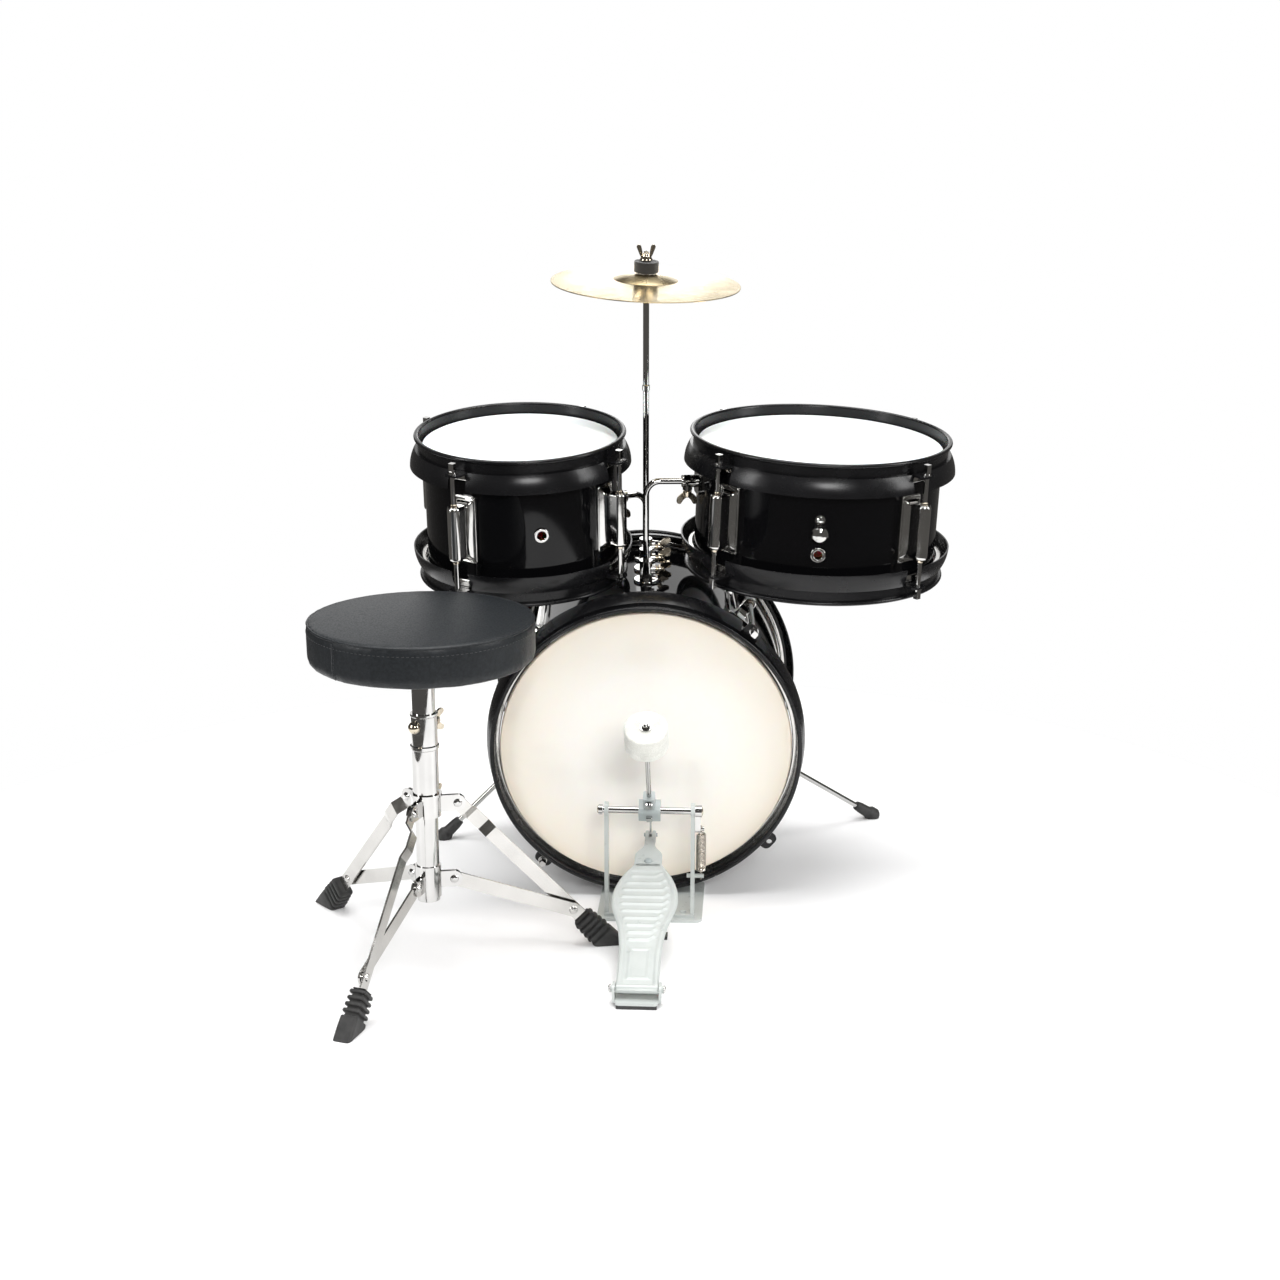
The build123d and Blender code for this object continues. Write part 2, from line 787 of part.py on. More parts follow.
def cymbal_rod():
    """Rod from the post to the cymbal: joint half-way, felt seat, thinner threaded top."""
    low = bass_shell_radius - arm_tail - cymbal_rim_v
    joint = cymbal_joint_v - cymbal_rim_v
    seat = felt_seat - lower_felt_height - GAP
    top = cymbal_rod_top_v - cymbal_rim_v
    thin = cymbal_rod_radius - 0.7
    points = [
        (0, low),
        (cymbal_rod_radius, low),
        (cymbal_rod_radius, joint),
        (cymbal_rod_radius + 0.8, joint + 1),
        (cymbal_rod_radius + 0.8, joint + 6),
        (cymbal_rod_radius, joint + 7),
        (cymbal_rod_radius, seat - 6),
        (6.0, seat - 2),
        (6.0, seat),
        (thin, seat),
        (thin, top),
        (0, top),
    ]
    return cymbal_frame * turned(points)


def cymbal():
    """Spun brass disc with a bell, leaned as it hangs."""
    outline = [
        Line((cymbal_hole_radius, bell_top), (cymbal_hole_radius + 4, bell_top)),
        ThreePointArc(
            (cymbal_hole_radius + 4, bell_top),
            (22.0, cymbal_rise + cymbal_bell_height * 0.62),
            (cymbal_bell_radius, cymbal_rise),
        ),
        ThreePointArc(
            (cymbal_bell_radius, cymbal_rise),
            (cymbal_radius * 0.68, cymbal_rise * 0.62),
            (cymbal_radius, 0),
        ),
        Line((cymbal_radius, 0), (cymbal_radius, -cymbal_thickness)),
        ThreePointArc(
            (cymbal_radius, -cymbal_thickness),
            (cymbal_radius * 0.68, cymbal_rise * 0.62 - cymbal_thickness),
            (cymbal_bell_radius, cymbal_rise - cymbal_thickness),
        ),
        ThreePointArc(
            (cymbal_bell_radius, cymbal_rise - cymbal_thickness),
            (22.0, cymbal_rise + cymbal_bell_height * 0.62 - cymbal_thickness),
            (cymbal_hole_radius + 4, bell_top - cymbal_thickness),
        ),
        Line(
            (cymbal_hole_radius + 4, bell_top - cymbal_thickness),
            (cymbal_hole_radius, bell_top - cymbal_thickness),
        ),
        Line((cymbal_hole_radius, bell_top - cymbal_thickness), (cymbal_hole_radius, bell_top)),
    ]
    face = Plane.XZ * make_face(outline)
    return cymbal_lean * revolve(face, Axis.Z)


def felts():
    """Felt washers under and over the bell, leaned with the cymbal."""
    hole = cymbal_rod_radius
    face = felt_seat - felt_gap
    low = felt_seat - lower_felt_height
    lower = turned([
        (hole, low), (lower_felt_radius, low), (lower_felt_radius, face - felt_crown), (hole + 2, face), (hole, face),
    ])
    face = bell_top + felt_gap
    high = bell_top + upper_felt_height
    upper = turned([
        (hole, face), (hole + 2, face), (felt_radius, face + felt_crown), (felt_radius, high - 1),
        (felt_radius - 1, high), (hole, high),
    ])
    return [cymbal_lean * lower, cymbal_lean * upper]


def cymbal_wing_nut():
    """Wing nut on the rod's threaded end."""
    low = bell_top + upper_felt_height + GAP
    body = turned([(0, low), (6.5, low), (5.0, low + 4), (4.0, low + 7), (0, low + 7)])
    outline = Polyline(
        (low + 1, -5),
        (low + 14, -10),
        (low + 16, -8.5),
        (low + 15, -5.5),
        (low + 7, -2),
        (low + 7, 2),
        (low + 15, 5.5),
        (low + 16, 8.5),
        (low + 14, 10),
        (low + 1, 5),
        close=True,
    )
    wings = Rot(0, -90, 0) * extrude(make_face(Plane.XY * outline), 1.4, both=True)
    bore = disc(cymbal_rod_radius - 0.7 + RUN, low - 1, low + 30)
    return cymbal_frame * Rot(0, 0, 90) * (body + wings - bore)


# ---- pedal, in its own frame: Y towards the drum, centre line at X = 0 -------
pedal_frame = Location((pedal_x, 0, 0), (0, 0, pedal_yaw))
board_length = hypot(toe_y - heel_y, toe_z - heel_z)
board_slope = degrees(atan2(toe_z - heel_z, toe_y - heel_y))
board_frame = pedal_frame * Location((0, heel_y, heel_z), (board_slope, 0, 0))
swing_frame = pedal_frame * Location((0, upright_y, axle_z), (beater_lean, 0, 0))
lever_x = upright_x + upright_thickness / 2 + axle_overhang


def base_plate():
    """Plate under the hoop, with a clamp over the hoop's lip."""
    half = base_width / 2
    plate = block((-half, half), (base_front, base_back), (0, plate_thickness))
    plate = fillet(plate.edges().filter_by(Axis.Z), 8)
    lip_y = bass_lip_radius * sin(radians(bass_tilt))
    block_end = lip_y - 1.4
    corner_x = (pedal_frame * Pos(clamp_half_width, lip_y + clamp_depth, 0)).position.X
    wall_top = (kit * Pos(0, clamp_depth, -hoop_wall_bottom(bass, corner_x))).position.Z
    low = wall_top + GAP
    wide = clamp_half_width
    stand = block((-wide, wide), (block_end - 13, block_end), (plate_thickness, low))
    jaw = block((-wide, wide), (block_end - 13, lip_y + clamp_depth), (low, low + 2.8))
    jaw = fillet(jaw.edges().filter_by(Axis.Z), 3)
    bolt = Pos(0, block_end - 7, low) * turned([(0, 2), (5, 2), (5, 5), (3.4, 6.4), (0, 6.8)])
    return plate + stand + jaw + bolt


def upright(sign):
    """Flat upright with an inward foot, a rivet and a round boss at the axle."""
    outer = sign * (upright_x + upright_thickness / 2)
    inner = sign * (upright_x - upright_thickness / 2)
    low_x, high_x = sorted((outer, inner))
    half = upright_width / 2
    strip = block((low_x, high_x), (upright_y - half, upright_y + half), (plate_thickness, axle_z))
    foot_x = sorted((outer, inner - sign * upright_foot_length))
    foot = block(foot_x, (upright_y - half - 2, upright_y + half + 2), (plate_thickness, plate_thickness + 3))
    boss = Pos(low_x, upright_y, axle_z) * Rot(0, 90, 0) * disc(axle_boss_radius, 0, upright_thickness)
    rivet_x = inner - sign * upright_foot_length / 2
    rivet = Pos(rivet_x, upright_y, plate_thickness) * turned([(0, 2), (4, 2), (3.2, 4.6), (0, 5.4)])
    bore = Pos(low_x - 5, upright_y, axle_z) * Rot(0, 90, 0) * disc(axle_radius + RUN, 0, 14)
    return strip + foot + boss + rivet - bore


def heel_plate():
    """Heel plate on rubber, with two cheeks that hold the hinge pin."""
    half = heel_width / 2
    plate = block((-half, half), (heel_y - 14, heel_y + 20), (4, 7))
    plate = fillet(plate.edges().filter_by(Axis.Z), 4)
    body = plate
    for sign in (-1, 1):
        cheek_x = sorted((sign * (half + 0.6), sign * (half + 3)))
        cheek = block(cheek_x, (heel_y - 8, heel_y + 8), (4, heel_z + 5))
        cheek = fillet(cheek.edges().filter_by(Axis.X).group_by(Axis.Z)[-1], 4)
        tab_x = sorted((sign * (half - 1), sign * (half + 3)))
        body += cheek + block(tab_x, (heel_y - 8, heel_y + 8), (4, 7))
    pin = Pos(-half - 5, heel_y, heel_z) * Rot(0, 90, 0) * disc(heel_pin_radius, 0, heel_width + 10)
    heads = [Pos(x, heel_y, heel_z) * Rot(0, 90, 0) * disc(3.6, 0, 2) for x in (-half - 5, half + 3)]
    return body + pin + heads[0] + heads[1]


def stretcher():
    """Two rods from the heel plate to the base plate."""
    body = None
    for sign in (-1, 1):
        x = sign * stretcher_x
        rod = bar((x, heel_y + 12, 5.5), (x, base_front + 6, 5.2), stretcher_radius)
        body = rod if body is None else body + rod
    saddle = block((-stretcher_x - 5, stretcher_x + 5), (base_front, base_front + 10), (plate_thickness - 0.5, 7.5))
    return body + saddle


def rubber_feet():
    """Rubber under the heel plate and a foot under the stretcher."""
    half = heel_width / 2 - 1
    heel_pad = block((-half, half), (heel_y - 13, heel_y + 19), (0, 4))
    middle_pad = block((stretcher_x - 6, stretcher_x + 8), (-96, -84), (0, 3.4))
    return [heel_pad, middle_pad]


def pedal_stand():
    """Base plate, uprights, heel plate and stretcher as one welded frame."""
    frame = base_plate() + upright(-1) + upright(1) + heel_plate() + stretcher()
    pin = bar((upright_x - 6, upright_y, lower_pin_z), (spring_x + 3, upright_y, lower_pin_z), 2.2)
    return pedal_frame * (frame + pin)


def pedal_axle():
    """Axle with a round screw head at each end, a lever and the spring's pin."""
    left = -upright_x - upright_thickness / 2 - axle_overhang
    right = lever_x + 3
    shaft = Rot(0, 90, 0) * disc(axle_radius, left, right)
    left_head = Rot(0, 90, 0) * disc(5.2, left - 2, left + 2)
    half = upright_x + upright_thickness / 2
    lever = block((half + GAP, lever_x + 2), (-4, 4), (-lever_length, 0))
    lever += Rot(0, 90, 0) * disc(6.2, half + GAP, lever_x + 3)
    lever += Pos(0, 0, -lever_length) * Rot(0, 90, 0) * disc(4, half + GAP, lever_x + 2)
    pin = Pos(0, 0, -lever_length) * Rot(0, 90, 0) * disc(2.2, half + GAP, spring_x + 3)
    return pedal_frame * Pos(0, upright_y, axle_z) * (shaft + left_head + lever + pin)


def beater_hub():
    """Hub on the axle: block, narrower head that clamps the rod, and the link's lobe."""
    half = hub_width / 2
    side = hub_side / 2
    body = block((-half, half), (-side, side), (-side, side))
    body = fillet(body.edges().filter_by(Axis.X), 4)
    top_half = hub_top_width / 2
    head_block = block((-top_half, top_half), (-6, 6), (side - 1, side + hub_top_height))
    head_block = fillet(head_block.edges().filter_by(Axis.Z), 2)
    screw = Pos(0, -6, side + hub_top_height - 6) * Rot(90, 0, 0) * disc(3.6, -0.5, 3.5)
    axle_space = Rot(0, 90, 0) * Cylinder(axle_radius, hub_width + 2)
    rod_space = disc(beater_rod_radius, 4, 60)
    lobe = Rot(-beater_lean, 0, 0) * hub_lobe()
    return swing_frame * (body + head_block + screw + lobe - axle_space - rod_space)


def hub_lobe():
    """Two cheeks with a pin that pull the link, towards the drum."""
    body = None
    for sign in (-1, 1):
        x = sorted((sign * (link_thickness / 2 + GAP), sign * (link_thickness / 2 + GAP + 3)))
        cheek = block(x, (6, lobe_reach), (-5, 5))
        cheek += Pos(x[0], lobe_reach, 0) * Rot(0, 90, 0) * disc(5, 0, 3)
        body = cheek if body is None else body + cheek
    pin_half = link_thickness / 2 + GAP + 4
    return body + Pos(-pin_half, lobe_reach, 0) * Rot(0, 90, 0) * disc(link_pin_radius, 0, 2 * pin_half)


def beater_rod():
    """Round rod with a nut on top of the felt."""
    shaft = disc(beater_rod_radius, 6, beater_reach + 8)
    nut = extrude(Plane.XY.offset(beater_reach + 1.6) * RegularPolygon(4.2, 6), 3.6)
    washer = disc(6, beater_reach + SEAT_GAP, beater_reach + 1.6)
    return swing_frame * (shaft + nut + washer)


def beater_felt():
    low = beater_reach - beater_felt_height
    body = ring(beater_felt_radius, beater_rod_radius, low, beater_reach)
    outer = body.edges().filter_by(GeomType.CIRCLE).sort_by(SortBy.RADIUS)[-2:]
    return swing_frame * fillet(outer, 3)


def board_half_width(share):
    """Half width of the footboard at a share of its length, between its stations."""
    for (start, half), (end, next_half) in zip(board_stations, board_stations[1:]):
        if share <= end:
            return half + (next_half - half) * (share - start) / (end - start)
    return board_stations[-1][1]


def board_face(first, last, inset):
    """Part of the board's outline, mirrored about its centre line, drawn inwards by an inset."""
    inner = [(share, half) for share, half in board_stations if first < share < last]
    ends = [(first, board_half_width(first)), *inner, (last, board_half_width(last))]
    right = [(half - inset, share * board_length) for share, half in ends]
    left = [(-x, y) for x, y in reversed(right)]
    sides = [Spline(*right), Line(right[-1], left[0]), Spline(*left), Line(left[-1], right[0])]
    return make_face(sides)


def board_toe():
    """Neck, tapered shoulder and forked tongue that holds the link's pin."""
    neck_start = board_stations[-1][0] * board_length - 4
    neck_end = board_length - 30
    outline = Polyline(
        (-board_neck, neck_start),
        (board_neck, neck_start),
        (board_neck, neck_end),
        (5.5, neck_end + 10),
        (5.5, board_length - 7),
        (-5.5, board_length - 7),
        (-5.5, neck_end + 10),
        (-board_neck, neck_end),
        close=True,
    )
    toe = extrude(make_face(outline), board_thickness)
    for sign in (-1, 1):
        x = sorted((sign * (link_thickness / 2 + GAP), sign * 5.5))
        toe += block(x, (board_length - 12, board_length + 4), (-4, 4))
    pin = Pos(-6.5, board_length, 0) * Rot(0, 90, 0) * disc(link_pin_radius, 0, 13)
    return toe + pin


def footboard():
    """Pressed board with a raised border, ribs, a heel panel and a heel knuckle."""
    board = extrude(board_face(board_heel, board_stations[-1][0], 0), board_thickness)
    dish = extrude(board_face(0.02, 0.74, board_border), 5)
    board -= Pos(0, 0, board_thickness - board_dish) * dish
    first = 0.29
    last = 0.70
    for i in range(board_rib_count):
        share = first + (last - first) * i / (board_rib_count - 1)
        half = board_half_width(share) - board_border - 3
        rib = Rot(0, 90, 0) * Cylinder(board_rib_radius, 2 * half)
        board += Pos(0, share * board_length, board_thickness - board_dish) * rib
    panel = block((-10, 10), (0.05 * board_length, 0.24 * board_length), (1, board_thickness - 0.3))
    heel_half = heel_width / 2 - 0.2
    knuckle = Rot(0, 90, 0) * disc(4.5, -heel_half, heel_half)
    board += panel + board_toe() + knuckle
    return board_frame * (board - Rot(0, 90, 0) * Cylinder(heel_pin_radius + RUN, 60))


def pedal_link():
    """Short link from the hub's lobe down to the board's toe."""
    top = (pedal_frame * Pos(0, upright_y + lobe_reach, axle_z)).position
    low = (pedal_frame * Pos(0, toe_y, toe_z)).position
    length = (top - low).length
    half = link_thickness / 2
    body = block((-half, half), (-link_width / 2, link_width / 2), (0, length))
    body += Rot(0, 90, 0) * Cylinder(link_width / 2, link_thickness)
    body += Pos(0, 0, length) * Rot(0, 90, 0) * Cylinder(link_width / 2, link_thickness)
    body -= Rot(0, 90, 0) * Cylinder(link_pin_radius + RUN, 10)
    body -= Pos(0, 0, length) * Rot(0, 90, 0) * Cylinder(link_pin_radius + link_slack, 10)
    return pedal_frame * Pos(0, toe_y, toe_z) * body


def pedal_spring():
    """Closed coil between the lever's pin and the frame's pin."""
    low = lower_pin_z + 6
    high = axle_z - lever_length - 6
    height = high - low
    mean = spring_radius - spring_wire / 2
    helix = Helix(pitch=height / spring_turns, height=height, radius=mean)
    coil = sweep(Plane(origin=helix @ 0, z_dir=helix % 0) * Circle(spring_wire / 2), path=helix)
    return pedal_frame * Pos(spring_x, upright_y, low) * coil


# ---- throne, in its own frame: axis at the origin, floor at Z = 0 ------------
throne = Location((throne_x, throne_y, 0))
leg_angles = [throne_first_leg + 360.0 / throne_legs * i for i in range(throne_legs)]
leg_drop = collar_pivot_z - knee_z
leg_run = knee_r - collar_pivot_r
leg_slope = degrees(atan2(leg_drop, leg_run))
knee_reach = hypot(leg_drop, leg_run)


def cheeks(pivot_r, pivot_z, inner_radius):
    """Two cheeks and a rivet that hold a strip's end."""
    body = None
    near = strip_thickness / 2 + GAP
    for sign in (-1, 1):
        y = sorted((sign * near, sign * (near + cheek_thickness)))
        cheek = block((inner_radius - 2, pivot_r), y, (pivot_z - 8, pivot_z + 8))
        tip = Pos(pivot_r, y[0], pivot_z) * Rot(-90, 0, 0) * disc(8, 0, cheek_thickness)
        cheek += tip
        body = cheek if body is None else body + cheek
    half = near + cheek_thickness
    pin = Pos(pivot_r, -half, pivot_z) * Rot(-90, 0, 0) * disc(pivot_radius, 0, 2 * half)
    dome = turned([(0, 0), (4.2, 0), (3.4, 1.4), (1.6, 2.0), (0, 2.1)])
    front = Pos(pivot_r, half - 0.1, pivot_z) * Rot(-90, 0, 0) * dome
    back = Pos(pivot_r, -half + 0.1, pivot_z) * Rot(90, 0, 0) * dome
    return body + pin + front + back


def throne_tube():
    """Stepped tube with a bead near its top and the lower hub at its foot."""
    inner = lower_tube_radius - lower_tube_wall
    bead = 216.0
    points = [
        (inner, lower_tube_bottom),
        (lower_tube_radius, lower_tube_bottom),
        (lower_tube_radius, sleeve_bottom),
        (sleeve_radius, sleeve_bottom),
        (sleeve_radius, bead),
        (sleeve_radius + 1.2, bead + 1),
        (sleeve_radius + 1.2, bead + 4),
        (sleeve_radius, bead + 5),
        (sleeve_radius, sleeve_top - 3),
        (sleeve_radius + 0.8, sleeve_top - 2),
        (sleeve_radius + 0.8, sleeve_top),
        (post_outer_radius + RUN, sleeve_top),
        (post_outer_radius + RUN, sleeve_bottom + 2),
        (inner, sleeve_bottom + 2),
    ]
    body = turned(points)
    hub_low = lower_tube_bottom + 4
    body += ring(hub_outer_radius, lower_tube_radius - 0.5, hub_low, hub_low + hub_height)
    for angle in leg_angles:
        body += around(angle, cheeks(hub_pivot_r, hub_pivot_z, hub_outer_radius))
    bolt_hole = Pos(0, 0, bolt_z) * Rot(0, 90, 0) * Cylinder(bolt_radius + RUN, 60)
    return throne * (body - around(bolt_bearing, bolt_hole))


def throne_collar():
    """Collar that slides on the lower tube and carries the legs."""
    top = sleeve_bottom - GAP
    body = ring(collar_radius, lower_tube_radius + RUN, top - collar_height, top)
    body += ring(collar_radius + 1.2, collar_radius - 1, top - 3, top)
    for angle in leg_angles:
        body += around(angle, cheeks(collar_pivot_r, collar_pivot_z, collar_radius))
    clamp = Pos(0, 0, top - collar_height / 2) * Rot(0, 90, 0)
    body += around(leg_angles[0] + 60, clamp * disc(5, collar_radius - 1, collar_radius + 4))
    hole = clamp * disc(wing_shaft_radius + RUN, 0, 40)
    return throne * (body - around(leg_angles[0] + 60, hole))


def collar_wing_bolt():
    top = sleeve_bottom - GAP
    screw = wing_screw(lower_tube_radius + GAP, collar_radius + 5)
    return throne * Pos(0, 0, top - collar_height / 2) * around(leg_angles[0] + 60, screw)


def leg_frame(angle):
    """Frame at the leg's upper pivot, X down along the leg, Y sideways."""
    return throne * Rot(0, 0, angle) * Pos(collar_pivot_r, 0, collar_pivot_z) * Rot(0, leg_slope, 0)


def strip(points, width):
    """Flat strip bent sideways: (along, sideways) centre points, extruded in width."""
    half = strip_thickness / 2
    upper = [(x, y + half) for x, y in points]
    lower = [(x, y - half) for x, y in reversed(points)]
    outline = make_face(Polyline(*upper, *lower, close=True))
    return extrude(outline, width / 2, both=True)


def throne_leg(angle):
    """Strip with a sideways joggle, round at its pivot, that ends inside its foot."""
    end = knee_reach + foot_start + leg_in_foot
    points = [(0, 0), (13, 0), (21, leg_bump), (37, leg_bump), (47, leg_offset), (end, leg_offset)]
    body = strip(points, strip_width)
    body += Rot(90, 0, 0) * Cylinder(strip_width / 2, strip_thickness)
    washer_low = strip_thickness / 2 + GAP
    washer_high = leg_offset - strip_thickness / 2 + 0.2
    body += Pos(knee_reach, washer_low, 0) * Rot(-90, 0, 0) * disc(4.5, 0, washer_high - washer_low)
    head_low = leg_offset + strip_thickness / 2 - 0.1
    dome = turned([(0, 0), (4.2, 0), (3.4, 1.4), (1.6, 2.0), (0, 2.1)])
    body += Pos(knee_reach, head_low, 0) * Rot(-90, 0, 0) * dome
    return leg_frame(angle) * (body - Rot(90, 0, 0) * Cylinder(pivot_radius + RUN, 10))


def throne_foot(angle):
    """Ribbed rubber foot over the leg's end, with a flat sole on the floor."""
    start = knee_reach + foot_start
    half_width = foot_width / 2
    half_depth = foot_depth / 2
    neck = block((start, start + 30), (-half_depth + 2, half_depth - 2), (-half_width + 3, half_width - 3))
    pitch = 6.2
    for i in range(foot_ribs):
        x = start + 2 + pitch * i
        grow = 0.4 * i
        neck += block((x, x + 3.6), (-half_depth + 1 - grow * 0.4, half_depth - 1 + grow * 0.4),
                      (-half_width + 1.5 - grow, half_width - 1.5 + grow))
    wedge = block((start + 26, start + foot_length + 20), (-half_depth, half_depth), (-half_width, half_width))
    wedge = fillet(wedge.edges().filter_by(Axis.X), 3)
    body = Pos(0, leg_offset, 0) * (neck + wedge)
    slot_end = start + leg_in_foot
    slot = block((0, slot_end), (leg_offset - strip_thickness / 2, leg_offset + strip_thickness / 2),
                 (-strip_width / 2, strip_width / 2))
    body = leg_frame(angle) * (body - slot)
    return body - block((-600, 600), (-600, 600), (-80, 0))


def throne_brace(angle):
    """Straight strip from the hub's cheeks to the knee rivet."""
    run = knee_r - hub_pivot_r
    drop = hub_pivot_z - knee_z
    length = hypot(run, drop)
    slope = degrees(atan2(drop, run))
    body = strip([(0, 0), (length, 0)], strip_width)
    for x in (0, length):
        body += Pos(x, 0, 0) * Rot(90, 0, 0) * Cylinder(strip_width / 2, strip_thickness)
    body -= Rot(90, 0, 0) * Cylinder(pivot_radius + RUN, 10)
    dome = turned([(0, 0), (4.2, 0), (3.4, 1.4), (1.6, 2.0), (0, 2.1)])
    body += Pos(length, -strip_thickness / 2 + 0.1, 0) * Rot(90, 0, 0) * dome
    frame = throne * Rot(0, 0, angle) * Pos(hub_pivot_r, 0, hub_pivot_z) * Rot(0, slope, 0)
    return frame * body


def seat_post():
    """Hollow post with a slot that the height bolt runs in."""
    body = ring(post_outer_radius, post_outer_radius - post_wall, post_bottom, post_top)
    slot_top = bolt_z
    slot_bottom = bolt_z - height_travel
    slot = block((-40, 40), (-bolt_radius - 0.1, bolt_radius + 0.1), (slot_bottom, slot_top))
    for z in (slot_bottom, slot_top):
        slot += Pos(0, 0, z) * Rot(0, 90, 0) * Cylinder(bolt_radius + 0.1, 80)
    return throne * (body - around(bolt_bearing, slot))


def height_bolt():
    """Through bolt with a round head in front and a wing nut behind."""
    head_start = sleeve_radius + GAP
    bolt = Rot(0, 90, 0) * disc(bolt_radius, -sleeve_radius - 12, head_start + 1)
    dome = [(0, 0), (5.6, 0), (5.6, 2.0), (4.4, 4.2), (2.2, 5.4), (0, 5.8)]
    head_part = Pos(head_start, 0, 0) * Rot(0, 90, 0) * turned(dome)
    nut = Rot(0, 0, 180) * wing_screw(sleeve_radius + GAP, sleeve_radius + GAP, bolt_radius)
    return throne * Pos(0, 0, bolt_z) * around(bolt_bearing, bolt + head_part + nut)


def seat_mount():
    """Black cup under the seat that turns on the post."""
    points = [
        (post_outer_radius + RUN, cup_bottom),
        (cup_neck_radius, cup_bottom),
        (cup_neck_radius + 1, cup_bottom + 8),
        (cup_radius, seat_bottom - 5),
        (cup_radius, seat_bottom - SEAT_GAP),
        (0, seat_bottom - SEAT_GAP),
        (0, post_top + GAP),
        (post_outer_radius + RUN, post_top + GAP),
    ]
    return throne * turned(points)


def seat_cushion():
    body = disc(seat_radius, seat_bottom, seat_bottom + seat_height)
    return throne * fillet(body.edges().filter_by(GeomType.CIRCLE), seat_edge)


# ---- the whole kit -----------------------------------------------------------
def tom_nodes(name, tom, vent_bearing, vent_height):
    frame = tom.drum_frame
    fittings = [tom_bracket(tom), vent_place(tom, vent_bearing, vent_height) * grommet()]
    return {
        f"{name}_arm": [tom_arm(tom)],
        f"{name}_shell": [tom_shell(tom, vent_bearing, vent_height)],
        f"{name}_heads": [frame * piece for piece in mirrored_pair(tom.drum, head)],
        f"{name}_hoops": [frame * piece for piece in mirrored_pair(tom.drum, hoop)],
        f"{name}_lugs": [frame * piece for piece in lugs(tom.drum)],
        f"{name}_tension_rods": [frame * piece for piece in tension_rods(tom.drum)],
        f"{name}_fittings": fittings,
        f"{name}_wing_screw": [tom_screw(tom)],
    }


def bass_nodes():
    nodes = {
        "bass_shell": [bass_shell()],
        "bass_heads": [bass_frame * piece for piece in mirrored_pair(bass, head)],
        "bass_hoops": [bass_frame * piece for piece in mirrored_pair(bass, hoop)],
        "bass_lugs": [bass_frame * piece for piece in lugs(bass)],
        "bass_tension_rods": [bass_frame * piece for piece in tension_rods(bass)],
        "bass_shell_brackets": shell_brackets(),
        "front_post_wing_bolt": [post_wing_bolt(front_post_u)],
        "middle_post_wing_bolt": [post_wing_bolt(middle_post_u)],
        "rear_post_wing_bolt": [post_wing_bolt(rear_post_u)],
    }
    for side in spur_feet:
        nodes[f"{side}_spur_rod"] = [spur_rod(side)]
        nodes[f"{side}_spur_tip"] = [spur_tip(side)]
        nodes[f"{side}_spur_wing_screw"] = [spur_screw(side)]
    return nodes


def large_tom_extras(nodes):
    """Tone control: knob, bush and screw, with holes in the shell for them."""
    place = vent_place(large, large_vent_bearing, tone_height)
    hole = place * Rot(0, 90, 0) * disc(4.0, -20, 20)
    nodes["large_tom_shell"] = [nodes["large_tom_shell"][0] - hole]
    above = vent_place(large, large_vent_bearing, tone_height + screw_spacing)
    nodes["large_tom_fittings"] += [place * tone_bush(), above * screw_washer()]
    nodes["tone_knob"] = [place * tone_knob()]
    return nodes


def pedal_nodes():
    return {
        "pedal_frame": [pedal_stand()] + [pedal_frame * pad for pad in rubber_feet()],
        "pedal_axle": [pedal_axle()],
        "beater_hub": [beater_hub()],
        "beater_rod": [beater_rod()],
        "beater_felt": [beater_felt()],
        "footboard": [footboard()],
        "pedal_link": [pedal_link()],
        "pedal_spring": [pedal_spring()],
    }


def throne_nodes():
    nodes = {
        "throne_tube": [throne_tube()],
        "throne_collar": [throne_collar()],
        "seat_post": [seat_post()],
        "seat_mount": [seat_mount()],
        "seat_cushion": [seat_cushion()],
        "throne_height_bolt": [height_bolt()],
        "throne_collar_bolt": [collar_wing_bolt()],
    }
    for number, angle in enumerate(leg_angles, start=1):
        nodes[f"throne_leg_{number}"] = [throne_leg(angle)]
        nodes[f"throne_foot_{number}"] = [throne_foot(angle)]
        nodes[f"throne_brace_{number}"] = [throne_brace(angle)]
    return nodes


def all_nodes():
    nodes = bass_nodes()
    nodes.update(tom_nodes("small_tom", small, small_vent_bearing, vent_height_small))
    nodes.update(tom_nodes("large_tom", large, large_vent_bearing, vent_height_large))
    nodes = large_tom_extras(nodes)
    nodes["cymbal_rod"] = [cymbal_rod()]
    nodes["cymbal"] = [cymbal()]
    nodes["cymbal_felts"] = felts()
    nodes["cymbal_wing_nut"] = [cymbal_wing_nut()]
    nodes.update(pedal_nodes())
    nodes.update(throne_nodes())
    return nodes


def solids_of(pieces):
    """The separate solids of a node's pieces."""
    return [solid for piece in pieces for solid in piece.solids()]


def centring_shift(nodes):
    """Move that puts the centre of the kit's footprint at the origin."""
    boxes = [Compound(solids).bounding_box() for solids in nodes.values()]
    low_x = min(box.min.X for box in boxes)
    high_x = max(box.max.X for box in boxes)
    low_y = min(box.min.Y for box in boxes)
    high_y = max(box.max.Y for box in boxes)
    low_z = min(box.min.Z for box in boxes)
    return Location((-(low_x + high_x) / 2, -(low_y + high_y) / 2, -low_z))


def main():
    nodes = {name: solids_of(pieces) for name, pieces in all_nodes().items()}
    shift = centring_shift(nodes)
    os.makedirs("parts", exist_ok=True)
    for name, solids in nodes.items():
        export_step(Compound([shift * solid for solid in solids]), f"parts/{name}.step")
    print("nodes", len(nodes), "shift", shift.position)


if __name__ == "__main__":
    main()
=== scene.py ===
import json
from math import atan2, ceil, cos, degrees, exp, hypot, pi, radians, sin

import bmesh
import bpy
from mathutils import Matrix, Vector, noise
from mathutils.bvhtree import BVHTree


